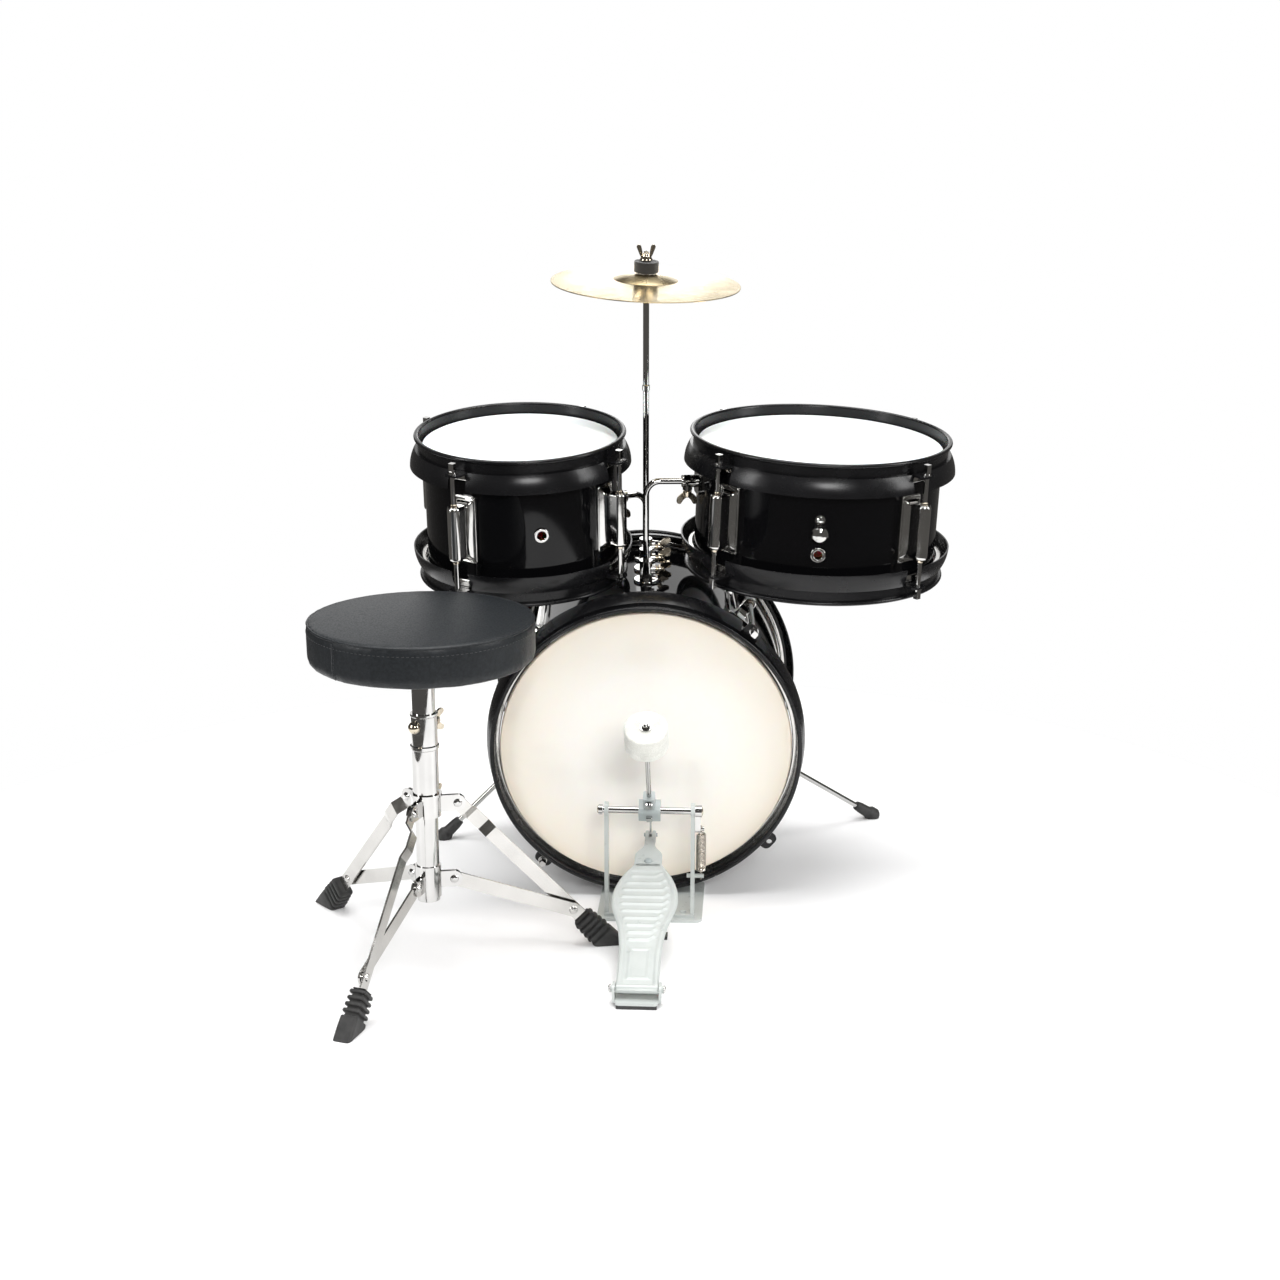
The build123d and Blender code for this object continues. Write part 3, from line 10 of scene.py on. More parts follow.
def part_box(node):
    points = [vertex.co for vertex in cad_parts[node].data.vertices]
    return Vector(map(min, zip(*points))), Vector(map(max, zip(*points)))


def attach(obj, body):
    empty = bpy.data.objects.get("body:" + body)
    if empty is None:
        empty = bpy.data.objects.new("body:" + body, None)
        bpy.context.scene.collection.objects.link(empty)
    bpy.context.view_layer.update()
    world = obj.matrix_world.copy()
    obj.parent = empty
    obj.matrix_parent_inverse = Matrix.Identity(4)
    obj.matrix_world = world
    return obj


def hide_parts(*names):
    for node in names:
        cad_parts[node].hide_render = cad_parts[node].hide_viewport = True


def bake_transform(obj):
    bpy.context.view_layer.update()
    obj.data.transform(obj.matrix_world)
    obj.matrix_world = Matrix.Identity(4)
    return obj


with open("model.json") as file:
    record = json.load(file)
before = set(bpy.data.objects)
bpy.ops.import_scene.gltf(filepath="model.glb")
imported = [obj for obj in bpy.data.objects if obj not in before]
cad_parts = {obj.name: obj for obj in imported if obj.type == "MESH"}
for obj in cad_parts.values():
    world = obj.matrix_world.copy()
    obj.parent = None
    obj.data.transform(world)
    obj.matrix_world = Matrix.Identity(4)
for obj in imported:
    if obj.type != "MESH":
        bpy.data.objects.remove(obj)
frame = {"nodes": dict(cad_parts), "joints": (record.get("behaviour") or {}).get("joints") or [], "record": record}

# Junior acoustic drum kit.  Pieces are drawn in millimetres in a frame taken
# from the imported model's joints, and scaled to metres as they are placed.
MM = 0.001
noise.seed_set(1)  # or the felt's fibres would follow the clock
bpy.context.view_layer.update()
nodes = frame["nodes"]
joints = {joint["name"]: joint for joint in frame["joints"]}

# ---- sizes, as in the CAD model, mm
bass = dict(shell=150.0, depth=241.0, bearing=50.0)
small_tom_reach = (-128.5, 119.0 - 176.0)  # from its post to its axis, seen from above
large_tom_reach = (179.5, 135.0 - 107.0)
small_tom = dict(shell=99.5, depth=152.5, bearing=59.0, rise=87.0,
                 heading=degrees(atan2(small_tom_reach[1], small_tom_reach[0])))
large_tom = dict(shell=126.0, depth=145.0, bearing=41.5, rise=51.0,
                 heading=degrees(atan2(large_tom_reach[1], large_tom_reach[0])))
front_post = (0.0, 107.0, 259.0)
head_recess = 11.0
lug_count = 4
lug_standoff = 19.5
cymbal_place = (0.0, 142.0, 457.0)
bell_top = 9.5  # above the cymbal's rim
axle_place = (0.0, -37.0, 116.0)
spring_place = (52.5, -37.0)
pad_height, pad_end = 3.9, -60.0  # the pedal's rubber pads: below this, and nearer than this
leg_angles = (10, 130, 250)
leg_pivot = (30.0, 0.0, 160.0)
knee_run, knee_drop = 112.0, 120.0  # from a leg's pivot to its knee


# ---- frames
def frame_at(origin, x, y, z):
    """Matrix with the given axes and an origin in metres."""
    made = Matrix.Identity(4)
    for column, axis in enumerate((x, y, z)):
        for row in range(3):
            made[row][column] = axis[row]
    made.translation = Vector(origin)
    return made


def shift(x, y, z):
    return Matrix.Translation(Vector((x, y, z)) * MM)


def turn(angle, axis):
    return Matrix.Rotation(radians(angle), 4, axis)


def joint_place(name):
    return Vector(joints[name]["pos_m"]), Vector(joints[name]["axis"]).normalized()


def kit_frame():
    """The bass drum's frame: X across, Y along its axis, Z up."""
    place, up = joint_place("large_tom_swivel")
    across = Vector((1, 0, 0))
    made = frame_at((0, 0, 0), across, up.cross(across), up)
    made.translation = place - made.to_3x3() @ (Vector(front_post) * MM)
    return made


def tom_frame(name):
    """Frame of a tom's arm: X from the post to the tom's axis, Z along that axis."""
    place, along = joint_place(f"{name}_tilt")
    up = -joint_place(f"{name}_screw_turn")[1]
    return frame_at(place, along, up.cross(along), up)


def drum_frame(name, tom):
    """Frame of a tom's lip plane, Z outwards."""
    place, along = joint_place(f"{name}_tilt")
    box_low, box_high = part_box(f"{name}_shell")
    arm = tom_frame(name)
    local = arm.inverted() @ ((box_low + box_high) / 2)
    return arm @ shift(local.x / MM, 0, tom["rise"])


def pedal_frame_matrix():
    place, across = joint_place("beater_swing")
    across = -across
    up = Vector((0, 0, 1))
    made = frame_at((0, 0, 0), across, up.cross(across), up)
    made.translation = place - made.to_3x3() @ (Vector(axle_place) * MM)
    return made


kit = kit_frame()
batter = kit @ turn(90, "X")
small_frame = drum_frame("small_tom", small_tom)
large_frame = drum_frame("large_tom", large_tom)
pedal = pedal_frame_matrix()
throne_axis = joint_place("seat_turn")[0]
throne = Matrix.Translation((throne_axis.x, throne_axis.y, 0))


# ---- material helpers
class Surface:
    """A Principled material with a few node helpers."""

    def __init__(self, name, color, roughness, metallic=0.0, **sockets):
        self.made = bpy.data.materials.new(name)
        self.made.use_nodes = True
        self.tree = self.made.node_tree
        self.shader = self.tree.nodes["Principled BSDF"]
        self.set("Base Color", (*color, 1.0))
        self.set("Roughness", roughness)
        self.set("Metallic", metallic)
        for socket, value in sockets.items():
            self.set(socket.replace("_", " ").title().replace("Ior", "IOR"), value)
        self.where = self.node("ShaderNodeTexCoord").outputs["Object"]

    def set(self, socket, value):
        self.shader.inputs[socket].default_value = value

    def node(self, kind, **settings):
        made = self.tree.nodes.new(kind)
        for key, value in settings.items():
            setattr(made, key, value)
        return made

    def link(self, output, socket):
        self.tree.links.new(output, socket)

    def noise(self, scale, detail=3.0, roughness=0.5, where=None):
        made = self.node("ShaderNodeTexNoise")
        made.inputs["Scale"].default_value = scale
        made.inputs["Detail"].default_value = detail
        made.inputs["Roughness"].default_value = roughness
        self.link(where or self.where, made.inputs["Vector"])
        return made.outputs["Fac"]

    def cells(self, scale, feature="F1", where=None):
        made = self.node("ShaderNodeTexVoronoi", feature=feature)
        made.inputs["Scale"].default_value = scale
        self.link(where or self.where, made.inputs["Vector"])
        return made.outputs["Distance"]

    def stretched(self, x, y, z):
        made = self.node("ShaderNodeMapping")
        made.inputs["Scale"].default_value = (x, y, z)
        self.link(self.where, made.inputs["Vector"])
        return made.outputs["Vector"]

    def span(self, value, low, high, to_low=0.0, to_high=1.0):
        made = self.node("ShaderNodeMapRange")
        for socket, number in zip(("From Min", "From Max", "To Min", "To Max"), (low, high, to_low, to_high)):
            made.inputs[socket].default_value = number
        self.link(value, made.inputs["Value"])
        return made.outputs["Result"]

    def math(self, operation, first, second):
        made = self.node("ShaderNodeMath", operation=operation)
        for socket, value in zip(made.inputs, (first, second)):
            if isinstance(value, (int, float)):
                socket.default_value = value
            else:
                self.link(value, socket)
        return made.outputs[0]

    def colors(self, value, *stops):
        made = self.node("ShaderNodeValToRGB")
        ramp = made.color_ramp.elements
        while len(ramp) < len(stops):
            ramp.new(0.5)
        for element, (place, color) in zip(ramp, stops):
            element.position = place
            element.color = (*color, 1.0)
        self.link(value, made.inputs["Fac"])
        return made.outputs["Color"]

    def color_from(self, value, *stops):
        self.link(self.colors(value, *stops), self.shader.inputs["Base Color"])

    def roughness_from(self, value, low, high, rough_low, rough_high):
        self.link(self.span(value, low, high, rough_low, rough_high), self.shader.inputs["Roughness"])

    def bumps(self, *layers):
        """Layers of (height, strength, distance in mm) on the shader's normal."""
        before = None
        for height, strength, distance in layers:
            made = self.node("ShaderNodeBump")
            made.inputs["Strength"].default_value = strength
            made.inputs["Distance"].default_value = distance * MM
            self.link(height, made.inputs["Height"])
            if before:
                self.link(before, made.inputs["Normal"])
            before = made.outputs["Normal"]
        self.link(before, self.shader.inputs["Normal"])

    def mixed(self, share, first, second):
        """Two colours by share; each is an output or three numbers."""
        made = self.node("ShaderNodeMix", data_type="RGBA")
        self.link(share, made.inputs[0])
        for socket, color in zip((made.inputs[6], made.inputs[7]), (first, second)):
            if isinstance(color, tuple):
                socket.default_value = (*color, 1.0)
            else:
                self.link(color, socket)
        return made.outputs[2]

    def coordinates(self):
        made = self.node("ShaderNodeSeparateXYZ")
        self.link(self.where, made.inputs[0])
        return made.outputs

    def from_own_axis(self):
        """Distance from the piece's own Z axis, in metres."""
        x, y, _ = self.coordinates()
        square = self.math("ADD", self.math("MULTIPLY", x, x), self.math("MULTIPLY", y, y))
        return self.math("SQRT", square, 0.0)

    def from_axis(self, axis_frame):
        """Distance from a frame's Z axis, in metres."""
        place = self.node("ShaderNodeMapping", vector_type="POINT")
        inverse = axis_frame.inverted()
        place.inputs["Location"].default_value = inverse.translation
        place.inputs["Rotation"].default_value = inverse.to_euler()
        self.link(self.where, place.inputs["Vector"])
        flat = self.node("ShaderNodeVectorMath", operation="MULTIPLY")
        flat.inputs[1].default_value = (1, 1, 0)
        self.link(place.outputs["Vector"], flat.inputs[0])
        length = self.node("ShaderNodeVectorMath", operation="LENGTH")
        self.link(flat.outputs["Vector"], length.inputs[0])
        return length.outputs["Value"]


# ---- materials
def shell_wrap(name, axis_frame, radius):
    """Gloss black wrap outside and pale ply inside, told apart by the distance from the axis."""
    black = (0.003, 0.003, 0.0035)
    made = Surface(name, black, 0.06, ior=1.32)
    distance = made.from_axis(axis_frame)
    inside = made.span(distance, (radius - 0.7) * MM, (radius - 0.6) * MM, 1.0, 0.0)
    grain = made.noise(60.0, 6.0, 0.6, made.stretched(1.0, 1.0, 0.08))
    wood = made.colors(grain, (0.3, (0.46, 0.30, 0.16)), (0.7, (0.66, 0.47, 0.28)))
    made.link(made.mixed(inside, black, wood), made.shader.inputs["Base Color"])
    rough = made.span(made.noise(9.0), 0.3, 0.7, 0.04, 0.09)
    made.link(made.math("ADD", made.math("MULTIPLY", inside, 0.45), rough), made.shader.inputs["Roughness"])
    made.bumps((made.noise(26.0, 1.0), 0.04, 0.5), (made.noise(900.0, 2.0), 0.02, 0.05))
    return made.made


def hoop_paint():
    made = Surface("hoop_paint", (0.006, 0.006, 0.0065), 0.26, ior=1.36)
    made.roughness_from(made.noise(40.0, 4.0), 0.3, 0.7, 0.20, 0.30)
    made.color_from(made.noise(15.0, 5.0), (0.3, (0.004, 0.004, 0.0045)), (0.75, (0.009, 0.009, 0.010)))
    made.bumps((made.noise(1600.0, 2.0), 0.12, 0.08), (made.noise(70.0, 2.0), 0.05, 0.3))
    return made.made


def chrome(name, color=(0.57, 0.565, 0.555), rough=0.045):
    made = Surface(name, color, rough, metallic=1.0)
    made.roughness_from(made.noise(55.0, 6.0, 0.65), 0.35, 0.75, rough * 0.6, rough * 2.4)
    shade = tuple(0.9 * value for value in color)
    made.color_from(made.noise(30.0, 3.0), (0.3, shade), (0.6, color))
    made.bumps((made.noise(120.0, 2.0), 0.02, 0.2), (made.noise(2600.0, 2.0), 0.02, 0.03))
    return made.made


def pedal_paint(name, pale, dark, rough=0.33):
    made = Surface(name, pale, rough, coat_weight=0.4, coat_roughness=0.15)
    made.color_from(made.noise(22.0, 6.0, 0.6), (0.32, dark), (0.62, pale))
    made.roughness_from(made.noise(90.0, 4.0), 0.3, 0.7, rough * 0.8, rough * 1.25)
    made.bumps((made.noise(700.0, 3.0), 0.10, 0.10), (made.noise(60.0, 2.0), 0.05, 0.4))
    return made.made


def pedal_frame_paint():
    """Paint of the pedal's frame, with its rubber pads below the stretchers told apart by place."""
    made = Surface("pedal_frame_paint", paint_pale, 0.33, coat_weight=0.4, coat_roughness=0.15)
    _, y, z = made.coordinates()
    low = made.math("LESS_THAN", z, pad_height * MM)
    near = made.math("LESS_THAN", y, kit.translation.y + pad_end * MM)
    pad = made.math("MULTIPLY", low, near)
    paint = made.colors(made.noise(22.0, 6.0, 0.6), (0.32, paint_dark), (0.62, paint_pale))
    made.link(made.mixed(pad, paint, (0.015, 0.015, 0.015)), made.shader.inputs["Base Color"])
    rough = made.span(made.noise(90.0, 4.0), 0.3, 0.7, 0.27, 0.4)
    made.link(made.math("ADD", made.math("MULTIPLY", pad, 0.3), rough), made.shader.inputs["Roughness"])
    made.bumps((made.noise(700.0, 3.0), 0.10, 0.10), (made.noise(60.0, 2.0), 0.05, 0.4))
    return made.made


def felt(name, dark, pale):
    made = Surface(name, pale, 0.95, sheen_weight=0.4, sheen_roughness=0.5)
    fibres = made.noise(1400.0, 5.0, 0.75, made.stretched(1.0, 1.0, 2.2))
    made.color_from(made.math("MULTIPLY", fibres, made.span(made.noise(120.0, 4.0), 0.2, 0.8, 0.8, 1.2)),
                    (0.3, dark), (0.6, pale))
    made.bumps((fibres, 0.6, 0.5), (made.noise(260.0, 4.0), 0.35, 0.6))
    return made.made


def rubber(name="rubber"):
    made = Surface(name, (0.018, 0.018, 0.018), 0.55)
    made.color_from(made.noise(140.0, 5.0), (0.3, (0.012, 0.012, 0.012)), (0.75, (0.032, 0.031, 0.030)))
    made.roughness_from(made.noise(60.0, 4.0), 0.3, 0.7, 0.42, 0.66)
    made.bumps((made.noise(900.0, 4.0), 0.25, 0.12), (made.noise(120.0, 2.0), 0.1, 0.4))
    return made.made


def vinyl():
    made = Surface("vinyl", (0.011, 0.013, 0.015), 0.42, ior=1.38)
    grain = made.cells(620.0)
    creases = made.noise(300.0, 5.0, 0.65)
    made.color_from(creases, (0.3, (0.008, 0.0095, 0.011)), (0.7, (0.016, 0.019, 0.022)))
    made.roughness_from(grain, 0.0, 0.9, 0.34, 0.52)
    made.bumps((grain, 0.35, 0.22), (creases, 0.2, 0.2), (made.noise(28.0, 3.0), 0.12, 1.2))
    return made.made


def brass_plate():
    """Lathed cymbal bronze: fine rings about the cymbal's own axis."""
    ring_pitch = 0.9
    made = Surface("cymbal_brass", (0.62, 0.50, 0.29), 0.26, metallic=1.0)
    rings = made.math("SINE", made.math("MULTIPLY", made.from_own_axis(), 2 * pi / (ring_pitch * MM)), 0.0)
    uneven = made.noise(45.0, 4.0, 0.6)
    made.color_from(made.math("ADD", made.math("MULTIPLY", rings, 0.12), uneven),
                    (0.30, (0.52, 0.41, 0.22)), (0.55, (0.68, 0.56, 0.34)), (0.8, (0.78, 0.68, 0.46)))
    made.roughness_from(made.noise(20.0, 3.0), 0.3, 0.7, 0.16, 0.30)
    made.bumps((rings, 0.25, 0.05), (made.noise(90.0, 2.0), 0.06, 0.3))
    return made.made


def drum_film(name, middle, edge, radius, rough, cloudy):
    """Drum film in its own frame: the colour turns darker towards the edge, a painted shade of the hoop over the
    recessed film.
    """
    made = Surface(name, middle, rough, coat_weight=0.5, coat_roughness=0.12, subsurface_weight=0.15)
    made.set("Subsurface Scale", 0.004)
    share = made.span(made.from_own_axis(), 0.5 * radius * MM, radius * MM, 0.0, 0.85)
    value = made.math("ADD", share, made.span(made.noise(7.0, 4.0), 0.3, 0.7, -cloudy, cloudy))
    soft = tuple(0.5 * (a + b) for a, b in zip(middle, edge))
    # painted shade: the colour darkens from half the radius out to the hoop
    made.color_from(value, (0.05, middle), (0.70, soft), (0.95, edge))
    made.roughness_from(made.noise(60.0, 3.0), 0.3, 0.7, rough * 0.85, rough * 1.2)
    made.bumps((made.noise(1100.0, 3.0), 0.05, 0.05), (made.noise(14.0, 2.0), 0.04, 0.8))
    return made.made


def steel_wire():
    made = Surface("spring_steel", (0.62, 0.58, 0.52), 0.24, metallic=1.0)
    made.color_from(made.noise(400.0, 4.0), (0.3, (0.45, 0.40, 0.34)), (0.7, (0.70, 0.66, 0.60)))
    made.bumps((made.noise(1500.0, 2.0), 0.1, 0.05))
    return made.made


def thread():
    made = Surface("seam_thread", (0.015, 0.016, 0.018), 0.6, sheen_weight=0.2)
    made.color_from(made.noise(2500.0, 3.0), (0.3, (0.010, 0.011, 0.012)), (0.7, (0.045, 0.048, 0.052)))
    made.bumps((made.noise(3000.0, 3.0), 0.5, 0.1))
    return made.made


HOOP = hoop_paint()
CHROME = chrome("chrome")
LUG_CHROME = chrome("lug_chrome", (0.62, 0.615, 0.60), 0.06)
WARM_CHROME = chrome("nickel_brass", (0.62, 0.55, 0.44), 0.12)
STRIP_CHROME = chrome("strip_chrome", (0.56, 0.55, 0.53), 0.12)
paint_pale, paint_dark = (0.50, 0.53, 0.515), (0.44, 0.47, 0.455)
PAINT = pedal_paint("pedal_paint", paint_pale, paint_dark)
HUB_PAINT = pedal_paint("hub_paint", (0.38, 0.42, 0.42), (0.30, 0.34, 0.34), 0.4)
WHITE_FELT = felt("white_felt", (0.55, 0.55, 0.50), (0.80, 0.80, 0.75))
BLACK_FELT = felt("black_felt", (0.006, 0.006, 0.006), (0.020, 0.020, 0.020))
RUBBER = rubber()
VINYL = vinyl()
BRASS = brass_plate()
THREAD = thread()
WIRE = steel_wire()
PLASTIC = rubber("black_plastic")

cad_materials = {
    "chrome": CHROME,
    "lug_chrome": LUG_CHROME,
    "black_hoop": HOOP,
    "rubber": RUBBER,
    "pedal_paint": PAINT,
    "pedal_grey": HUB_PAINT,
    "white_felt": WHITE_FELT,
    "black_felt": BLACK_FELT,
    "cymbal_brass": BRASS,
    "spring_steel": WIRE,
    "vinyl": VINYL,
    "black_plastic": PLASTIC,
    # each film's edge colour is painted shade of its hoop
    "bass_head": drum_film("bass_film", (0.97, 0.88, 0.82), (0.93, 0.77, 0.62), bass["shell"], 0.22, 0.04),
    "tom_head": drum_film("tom_film", (0.90, 0.90, 0.90), (0.80, 0.80, 0.80), large_tom["shell"], 0.4, 0.03),
}
wraps = {
    "bass_shell": shell_wrap("bass_wrap", batter, bass["shell"]),
    "small_tom_shell": shell_wrap("small_tom_wrap", small_frame, small_tom["shell"]),
    "large_tom_shell": shell_wrap("large_tom_wrap", large_frame, large_tom["shell"]),
}


def paint_node(name, material):
    """One material on the whole of a CAD node."""
    data = nodes[name].data
    data.materials.clear()
    data.materials.append(material)


for part in frame["record"]["subparts"]:
    name = part["node"]
    paint_node(name, wraps.get(name) or cad_materials[part["material_slot"]])
strips = [f"throne_{strip}_{number}" for strip in ("leg", "brace") for number in (1, 2, 3)]
for name in strips:
    paint_node(name, STRIP_CHROME)
paint_node("pedal_frame", pedal_frame_paint())
for name in strips + ["pedal_frame"]:
    soft = nodes[name].modifiers.new("edges", "BEVEL")
    soft.width = 0.35 * MM
    soft.segments = 2
    soft.limit_method = "ANGLE"
    soft.angle_limit = radians(50)


# ---- mesh helpers, in millimetres
TO_X = Matrix.Rotation(pi / 2, 4, "Y")  # lays what is turned about Z along X
TO_FRONT = Matrix.Rotation(pi / 2, 4, "X")  # faces what lies in XY to -Y
BACKWARDS = Matrix.Rotation(pi, 4, "Z")


class Build:
    """Points and faces of one piece."""

    def __init__(self):
        self.points = []
        self.faces = []

    def add(self, shape, place=None):
        points, faces = shape
        start = len(self.points)
        place = place or Matrix.Identity(4)
        self.points += [place @ Vector(point) for point in points]
        self.faces += [[start + index for index in face] for face in faces]
        return self


def at(x, y, z):
    return Matrix.Translation(Vector((x, y, z)))


def circle(count):
    return [2 * pi * i / count for i in range(count)]


def lathe(profile, segments=64, closed=False):
    """Surface turned about Z from (radius, height) points; a point on the axis is a pole."""
    points, rings = [], []
    for radius, height in profile:
        angles = circle(segments) if radius > 1e-6 else [0.0]
        rings.append(list(range(len(points), len(points) + len(angles))))
        points += [(radius * cos(a), radius * sin(a), height) for a in angles]
    faces = []
    for low, high in zip(rings, rings[1:] + rings[:1] if closed else rings[1:]):
        for i in range(segments):
            j = (i + 1) % segments
            face = [low[i % len(low)], low[j % len(low)], high[j % len(high)], high[i % len(high)]]
            face = list(dict.fromkeys(face))
            if len(face) > 2:
                faces.append(face)
    return points, faces


def spun(profile, corner, segments, steps=3, closed=False):
    """A profile with its corners rounded, turned about Z."""
    return lathe(rounded(profile, corner, steps, closed), segments, closed)


def loft(rings):
    """Closed skin over rings of as many points each."""
    count = len(rings[0])
    last = (len(rings) - 1) * count
    faces = [list(range(count)), list(range(last, last + count))]
    for start in range(0, last, count):
        for i in range(count):
            j = (i + 1) % count
            faces.append([start + i, start + j, start + count + j, start + count + i])
    return [point for ring in rings for point in ring], faces


def slab(outline, low, high):
    """Outline in XY made solid between two heights."""
    return loft([[(x, y, z) for x, y in outline] for z in (low, high)])


def tube(path, radius, sides=10):
    """Round bar along a path."""
    path = [Vector(point) for point in path]
    side = (path[1] - path[0]).orthogonal().normalized()
    rings = []
    for i, here in enumerate(path):
        ahead = (path[min(i + 1, len(path) - 1)] - path[max(i - 1, 0)]).normalized()
        side = (side - ahead * side.dot(ahead)).normalized()
        up = ahead.cross(side)
        rings.append([here + radius * (cos(a) * side + sin(a) * up) for a in circle(sides)])
    return loft(rings)


def rounded(points, radius, steps=4, closed=True):
    """The same outline with its corners rounded."""
    made = []
    for i, corner in enumerate(points):
        if not closed and i in (0, len(points) - 1):
            made.append(tuple(corner))
            continue
        here, before, after = Vector(corner), Vector(points[i - 1]), Vector(points[(i + 1) % len(points)])
        reach = min(radius, 0.45 * (before - here).length, 0.45 * (after - here).length)
        start = here + (before - here).normalized() * reach
        end = here + (after - here).normalized() * reach
        for t in (step / steps for step in range(steps + 1)):
            made.append(tuple((1 - t) ** 2 * start + 2 * t * (1 - t) * here + t * t * end))
    return made


def rectangle(half_x, half_y, radius=0.0, steps=4):
    corners = [(-half_x, -half_y), (half_x, -half_y), (half_x, half_y), (-half_x, half_y)]
    return rounded(corners, radius, steps) if radius else corners


def arc(first, middle, last, steps):
    """Points of the circle through three points of a plane."""
    (ax, ay), (bx, by), (cx, cy) = first, middle, last
    double = 2 * (ax * (by - cy) + bx * (cy - ay) + cx * (ay - by))
    a2, b2, c2 = ax * ax + ay * ay, bx * bx + by * by, cx * cx + cy * cy
    x = (a2 * (by - cy) + b2 * (cy - ay) + c2 * (ay - by)) / double
    y = (a2 * (cx - bx) + b2 * (ax - cx) + c2 * (bx - ax)) / double
    start, end = atan2(ay - y, ax - x), atan2(cy - y, cx - x)
    radius = hypot(ax - x, ay - y)
    angles = [start + (end - start) * i / steps for i in range(steps + 1)]
    return [(x + radius * cos(a), y + radius * sin(a)) for a in angles]


def skinned(points, faces):
    """Mesh under edit, with its faces turned outwards."""
    mesh = bmesh.new()
    made = [mesh.verts.new(point) for point in points]
    for face in faces:
        mesh.faces.new([made[index] for index in face])
    bmesh.ops.recalc_face_normals(mesh, faces=mesh.faces)
    return mesh


def soften(mesh, width, angle):
    """Bevels the edges that are sharper than an angle in degrees."""
    sharp = [edge for edge in mesh.edges if edge.is_manifold and edge.calc_face_angle() > radians(angle)]
    bmesh.ops.bevel(mesh, geom=sharp, offset=width, segments=2, affect="EDGES", clamp_overlap=True)


def stored(name, mesh):
    """Mesh data from a mesh under edit."""
    data = bpy.data.meshes.new(name)
    mesh.to_mesh(data)
    mesh.free()
    return data


def linked(name, data):
    made = bpy.data.objects.new(name, data)
    bpy.context.scene.collection.objects.link(made)
    return made


def put(name, build, place, body, material, replaces=(), bevel=0.0):
    """Turns a build into a piece that rides on a body."""
    mesh = skinned(build.points, build.faces)
    if bevel:
        soften(mesh, bevel, 35)
    data = stored(name, mesh)
    data.transform(Matrix.Scale(MM, 4))
    return settle(name, data, place, body, material, replaces)


def settle(name, data, place, body, material, replaces=()):
    """Puts a mesh in metres in its place, on a body if one is given."""
    data.polygons.foreach_set("use_smooth", [True] * len(data.polygons))
    data.set_sharp_from_angle(angle=radians(38))
    data.materials.clear()
    data.materials.append(material)
    made = linked(name, data)
    made.matrix_world = place
    made.modifiers.new("normals", "WEIGHTED_NORMAL").keep_sharp = True
    if body:
        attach(made, body)
    if replaces:
        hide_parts(*replaces)
    return made


# ---- drums
def drum_film_shape(drum, ripple):
    """Film with a rounded collar over the shell's edge, rippled where its hoop pulls it."""
    rim, skirt, thick, rings = drum["shell"] + 1.1, -16.0, 0.5, 60
    flat = [(rim * i / rings, -head_recess) for i in range(rings - 1)]
    shoulder = [(rim * (rings - 2) / rings, -head_recess), (rim, -head_recess), (rim, skirt)]
    over = rounded(shoulder, 2.5, 6, closed=False)
    under = [(rim - thick, skirt), (rim - thick, -13.8), (rim - 3.0, -head_recess - thick)]
    back = [(rim * i / 12, -head_recess - thick) for i in range(11, -1, -1)]
    points, faces = lathe(flat + over + under + back, 180)
    bent = []
    folds, fan_from, fan_width = 15.0, 34, 30
    for x, y, z in points:
        from_left = hypot(x + rim, y)
        fan = sin(folds * atan2(y, x + rim + 6)) * exp(-((from_left - fan_from) / fan_width) ** 2)
        bent.append((x, y, z + ripple * fan * (hypot(x, y) < rim - 5)))
    return bent, faces


def heads(name, drum, place, body, material, ripple):
    """Both heads of a drum, each with the metal ring that it is moulded in."""
    film, rings = Build(), Build()
    rim = drum["shell"] + 1.7
    section = rectangle(2.5, 4.0, 1.2, 3)
    ring = lathe([(rim + 2.5 + x, -20.0 + y) for x, y in section], 128, closed=True)
    bead = lathe([(rim - 2.2 + 0.5 * cos(a), -11.2 + 0.5 * sin(a)) for a in circle(8)], 180, closed=True)
    for side in (Matrix.Identity(4), at(0, 0, -drum["depth"]) @ Matrix.Rotation(pi, 4, "X")):
        film.add(drum_film_shape(drum, ripple), side)
        film.add(bead, side)
        rings.add(ring, side)
    put(f"{name}_film", film, place, body, material, [f"{name}_heads"])
    put(f"{name}_flesh_rings", rings, place, body, STRIP_CHROME)


def lug_shape():
    """Framed saddle, tapered web and half-round column, X outwards from the shell."""
    upright = Matrix(((0, 0, 1, 0), (1, 0, 0, 0), (0, 1, 0, 0), (0, 0, 0, 1)))
    made = Build()
    made.add(slab(rectangle(13.5, 35, 2.5), -0.8, 1.7), upright)
    frame_line = rectangle(12.3, 33.8, 2.0)
    frame_line = frame_line + frame_line[:2]
    made.add(tube([(1.9, y, z) for y, z in frame_line], 1.15, 10))
    web = [rectangle(x, y, 2.0, 3) for x, y in ((10.5, 31), (8.4, 29.5), (6.6, 27), (6.0, 26))]
    made.add(loft([[(h, x, y) for x, y in ring] for h, ring in zip((1.5, 3.6, 6.5, 12), web)]))
    section = [(8.4, -7.0), (8.4, 7.0)]
    section += [(lug_standoff + 7 * cos(a), 7 * sin(a)) for a in (radians(90 - 12 * i) for i in range(16))]
    ends = ((28, 0.80), (27.5, 0.90), (26.4, 0.97), (24.8, 1.0))
    levels = [(-z, s) for z, s in ends] + list(reversed(ends))
    middle = lug_standoff - 3
    made.add(loft([[(middle + (x - middle) * s, y * s, z) for x, y in section] for z, s in levels]))
    for side in (-1, 1):
        collar = [(3.8, side * 28.4), (4.6, side * 28.4), (4.6, side * 27), (3.8, side * 27)]
        made.add(lathe(collar, 24, closed=True), at(lug_standoff, 0, 0))
    return made


